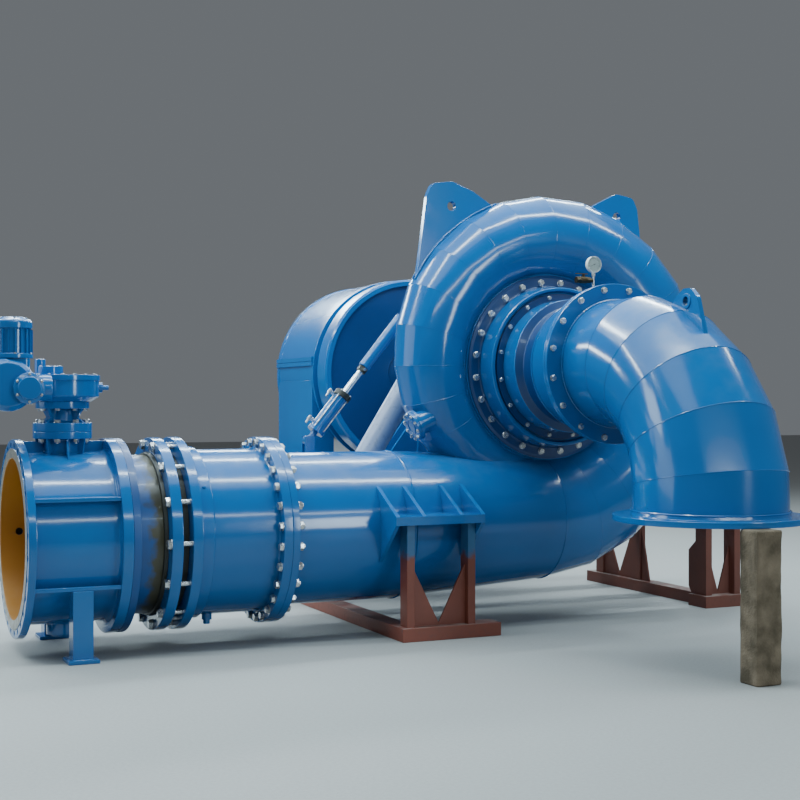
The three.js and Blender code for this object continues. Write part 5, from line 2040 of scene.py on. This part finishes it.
@dataclass
class Generator:
    """Shaft, pedestal bearing and generator drum."""

    front: float = 1.95
    lip: float = 0.74
    face: float = 0.69
    drum: float = 0.75
    groove: tuple[float, float] = (2.1, 2.17)
    end: float = 3.02
    bearing_bore: float = 0.1115
    cap_y: tuple[float, float] = (1.19, 1.47)

    def shaft(self) -> None:
        """Plain shaft from the head cover to the drum."""
        shape = rod(along_shaft(), 0.11, -1.9497, -0.2, 96, 0.003)
        piece("main_shaft", shape, MACHINED, replaces=["shaft"])

    def bearing(self) -> None:
        """Pedestal bearing with its split cap."""
        place = along_shaft()
        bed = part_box("bearing_pedestal")[0].z
        body = ring(place, 0.228, self.bearing_bore, -1.48, -1.18, 96)
        body.take(ring(place, 0.2, self.bearing_bore, -1.5, -1.16, 96))
        near, far = self.cap_y
        for side in (-1, 1):
            low, high = span(side, 0.2, 0.285)
            for bottom, top in ((-0.03, -0.003), (0.003, 0.03)):
                body.take(block(on_shaft(low, near, bottom), on_shaft(high, far, top)))
        foot_z = bed - TURBINE.z
        tall = [(-0.3, foot_z + 0.04), (0.3, foot_z + 0.04), (0.235, -0.06)]
        tall += [(0.2, -0.03), (-0.2, -0.03), (-0.235, -0.06)]
        trunk = plate(tall, place, -1.44, -1.22)
        cutter = rod(place, 0.15, -1.6, -1.1, 64)
        body.take(drilled(trunk, cutter))
        body.take(block(on_shaft(-0.74, 1.15, foot_z + 0.0005), on_shaft(0.74, 1.51, foot_z + 0.045)))
        for side in (-1, 1):
            outline = [(side * 0.26, foot_z + 0.04), (side * 0.6, foot_z + 0.04), (side * 0.235, -0.25)]
            for along in (1.26, 1.4):
                body.take(plate(outline, place, -along - 0.01, -along + 0.01))
        piece("bearing_housing", body, BLUE, replaces=["bearing_pedestal"], bevel=0.003)
        bolts = Shape()
        for x, y in ((-0.25, 1.25), (-0.25, 1.41), (0.25, 1.25), (0.25, 1.41)):
            bolts.take(hex_end(0.024, Head.NUT, 0.4).placed(Matrix.Translation(on_shaft(x, y, 0.03))))
        for x in (-0.68, 0.68):
            for y in (1.2, 1.46):
                spot = Matrix.Translation(on_shaft(x, y, foot_z + 0.045))
                bolts.take(hex_end(0.03, Head.NUT, 0.9).placed(spot))
        piece("bearing_bolts", bolts, BRIGHT)

    def drum_pieces(self) -> None:
        """Front disc, lip, and shell with the strips of its split flange."""
        place = along_shaft()
        back, sunk = -self.groove[0], -self.front - 0.012
        disc = [(0, back, 0), (self.face, back), (self.face, -self.front, 0.004), (0.2, -self.front, 0)]
        disc += [(0.19, sunk, 0), (0, sunk, 0)]
        piece("drum_front_disc", turned(rounded(disc), place, 128), DEEP_BLUE_AND_PAINTED_SHADE, replaces=["drum_face"])
        lip = rounded([
            (self.face + 0.0005, -self.groove[0]), (self.face + 0.0005, -self.front + 0.025),
            (0.725, -self.front + 0.025, 0.006), (self.lip, -self.front + 0.01, 0.006),
            (self.lip, -self.groove[0], 0.006),
        ], steps=4)
        piece("drum_front_lip", turned(lip, place, 144), BLUE, replaces=["drum_lip"])
        shell = rounded([
            (0, -self.end, 0), (0, -self.groove[0] - 0.0005, 0),
            (0.705, -self.groove[0] - 0.0005, 0.003), (0.705, -self.groove[1], 0.01),
            (self.drum, -self.groove[1], 0.006), (self.drum, -self.groove[1] - 0.055, 0.002),
            (self.drum - 0.006, -self.groove[1] - 0.058, 0.002),
            (self.drum - 0.006, -self.end + 0.055, 0.002), (self.drum, -self.end + 0.05, 0.002),
            (self.drum, -self.end, 0.006), (0.3, -self.end, 0.004), (0.3, -self.end + 0.02, 0.004),
        ])
        shape = turned(shell, place, 144)
        near, far = self.groove[1] + 0.012, self.end - 0.012
        for side in (-1, 1):
            low, high = span(side, 0.735, 0.757)
            for bottom in (0.062, 0.098):
                shape.take(block(on_shaft(low, near, bottom), on_shaft(high, far, bottom + 0.0325)))
        piece("drum_housing", shape, BLUE, replaces=["drum_shell"], crease=36)
        bolts = bolt_circle(along_shaft(-self.end), 0.66, 16, 0.014, Head.HEAD, flip=True)
        piece("drum_rear_bolts", bolts, BRIGHT)

    def build(self) -> None:
        """Builds the shaft line and dresses the drum's feet."""
        self.shaft()
        self.bearing()
        self.drum_pieces()
        for node in ("drum_foot_left", "drum_foot_right"):
            dress(node, BLUE, 0.004)


@dataclass
class Supports:
    """Feet of the case, trestles, bed and pillar."""

    erosion: float = 0.012

    def pillar(self) -> None:
        """Cast concrete pillar with chipped edges, wider at its foot."""
        low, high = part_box("concrete_pillar")
        work = bmesh.new()
        bmesh.ops.create_cube(work, size=1.0)
        bmesh.ops.subdivide_edges(work, edges=work.edges, cuts=15, use_grid_fill=True)
        centre = (low + high) / 2
        size = high - low
        points = []
        for vertex in work.verts:
            spot = Vector((vertex.co.x * size.x, vertex.co.y * size.y, vertex.co.z * size.z))
            corner = abs(vertex.co.x) * 2 > 0.86 and abs(vertex.co.y) * 2 > 0.86
            grain = 0.5 + 0.5 * noise.fractal(spot * 14, 0.7, 2.1, 5)
            depth = self.erosion * (0.25 + 0.5 * grain + (0.9 * grain if corner else 0))
            inward = Vector((vertex.co.x, vertex.co.y, 0))
            if inward.length > 0:
                spot -= inward.normalized() * depth * min(1.0, inward.length * 2)
            flare = max(0.0, -vertex.co.z - 0.36) * 0.25
            spot.x *= 1 + flare * 0.2
            points.append(centre + spot)
        faces = [tuple(vertex.index for vertex in face.verts) for face in work.faces]
        work.free()
        shape = surface(points, faces)
        made = piece("pillar_block", shape, CONCRETE, replaces=["concrete_pillar"], crease=60)
        grow = made.modifiers.new("finer", "SUBSURF")
        grow.levels = 1
        grow.render_levels = 1

    def build(self) -> None:
        """Dresses the plate work and builds the pillar."""
        for node in ("case_foot_left", "case_foot_right"):
            dress(node, BLUE, 0.003)
        dress("trestle_left", TRESTLE, 0.003)
        for node in ("trestle_right", "trestle_rear"):
            dress(node, PRIMER, 0.003)
        dress("bed_frame", DEEP_BLUE_AND_PAINTED_SHADE, 0.006)
        self.pillar()


@dataclass
class Studio:
    """Floor, lights and camera."""

    eye: tuple[float, float, float] = (-1.2, -7.95, 1.4)
    yaw: float = 24.3
    lens: float = 62.06
    horizon: float = 3.3 / 800
    daylight: tuple[float, float, float] = (0.76, 0.93, 1.0)

    def camera(self) -> None:
        """Camera at the photograph's place, level, turned towards the case."""
        data = bpy.data.cameras.new("view")
        data.lens = self.lens
        data.sensor_width = 36
        data.shift_y = self.horizon
        made = linked("view", data)
        base = Vector((LINE.x, LINE.y, 0))
        made.location = base + Vector(self.eye)
        made.rotation_euler = (math.pi / 2, 0, -math.radians(self.yaw))
        bpy.context.scene.camera = made

    def floor(self) -> None:
        """Plain pale floor."""
        mesh = bpy.data.meshes.new("floor")
        size = 40.0
        corners = [(-size, -size, 0), (size, -size, 0), (size, size, 0), (-size, size, 0)]
        mesh.from_pydata(corners, [], [(0, 1, 2, 3)])
        pale = Plain("pale_floor", "concrete", (0.34, 0.34, 0.33, 1), (0.31, 0.31, 0.3, 1), 0.6)
        mesh.materials.append(pale.material())
        linked("floor", mesh)

    def lamp(self, name: str, where: Vector, target: Vector, size: tuple[float, float], power: float) -> None:
        """One soft rectangular light.

        Args:
            name: its name.
            where: its place.
            target: the point it faces.
            size: its width and height.
            power: its power in watts.
        """
        data = bpy.data.lights.new(name, "AREA")
        data.shape = "RECTANGLE"
        data.size, data.size_y = size
        data.energy = power
        data.color = self.daylight
        made = linked(name, data)
        made.location = where
        made.rotation_euler = (target - where).to_track_quat("-Z", "Y").to_euler()

    def build(self) -> None:
        """Sets the floor, the soft lights and the camera."""
        self.floor()
        self.camera()
        unit = (0.2, -0.3, 0.9)
        for name, where, target, size, power in (
            ("roof_soft", (0.0, 0.5, 7.2), unit, (12.0, 9.0), 700),
            ("roof_strip_near", (0.0, -1.6, 6.4), unit, (13.0, 0.25), 560),
            ("roof_strip_middle", (0.0, 2.4, 5.8), unit, (13.0, 0.25), 540),
            ("roof_strip_far", (0.0, 8.0, 4.9), unit, (16.0, 0.5), 800),
            ("front_window", (-1.0, -12.0, 6.4), unit, (14.0, 0.5), 340),
            ("left_soft", (-9.5, 2.0, 5.5), unit, (3.0, 3.0), 220),
            ("left_window", (-10.0, 1.5, 2.6), (0.5, -1.0, 1.5), (7.0, 2.5), 120),
            ("right_window", (4.2, -12.0, 2.8), (1.0, -1.0, 1.4), (1.8, 3.0), 260),
        ):
            self.lamp(name, Vector(where), Vector(target), size, power)
        world = bpy.data.worlds.new("soft_grey")
        world.use_nodes = True
        light = world.node_tree.nodes["Background"].inputs
        light["Color"].default_value = (0.7, 0.76, 0.82, 1)
        light["Strength"].default_value = 0.21
        bpy.context.scene.world = world


def main() -> None:
    """Builds the studio and every sub-assembly in order."""
    logging.basicConfig(level=logging.INFO, format="%(message)s")
    Studio().build()
    inlet = (InletValve, ValveDrive, DismantlingJoint, InletPipe)
    turbine = (SpiralCase, Covers, DraftElbow, GaugeSet, RegulatingGear)
    for assembly in (*inlet, *turbine, Generator, Supports):
        assembly().build()


if __name__ == "__main__":
    main()
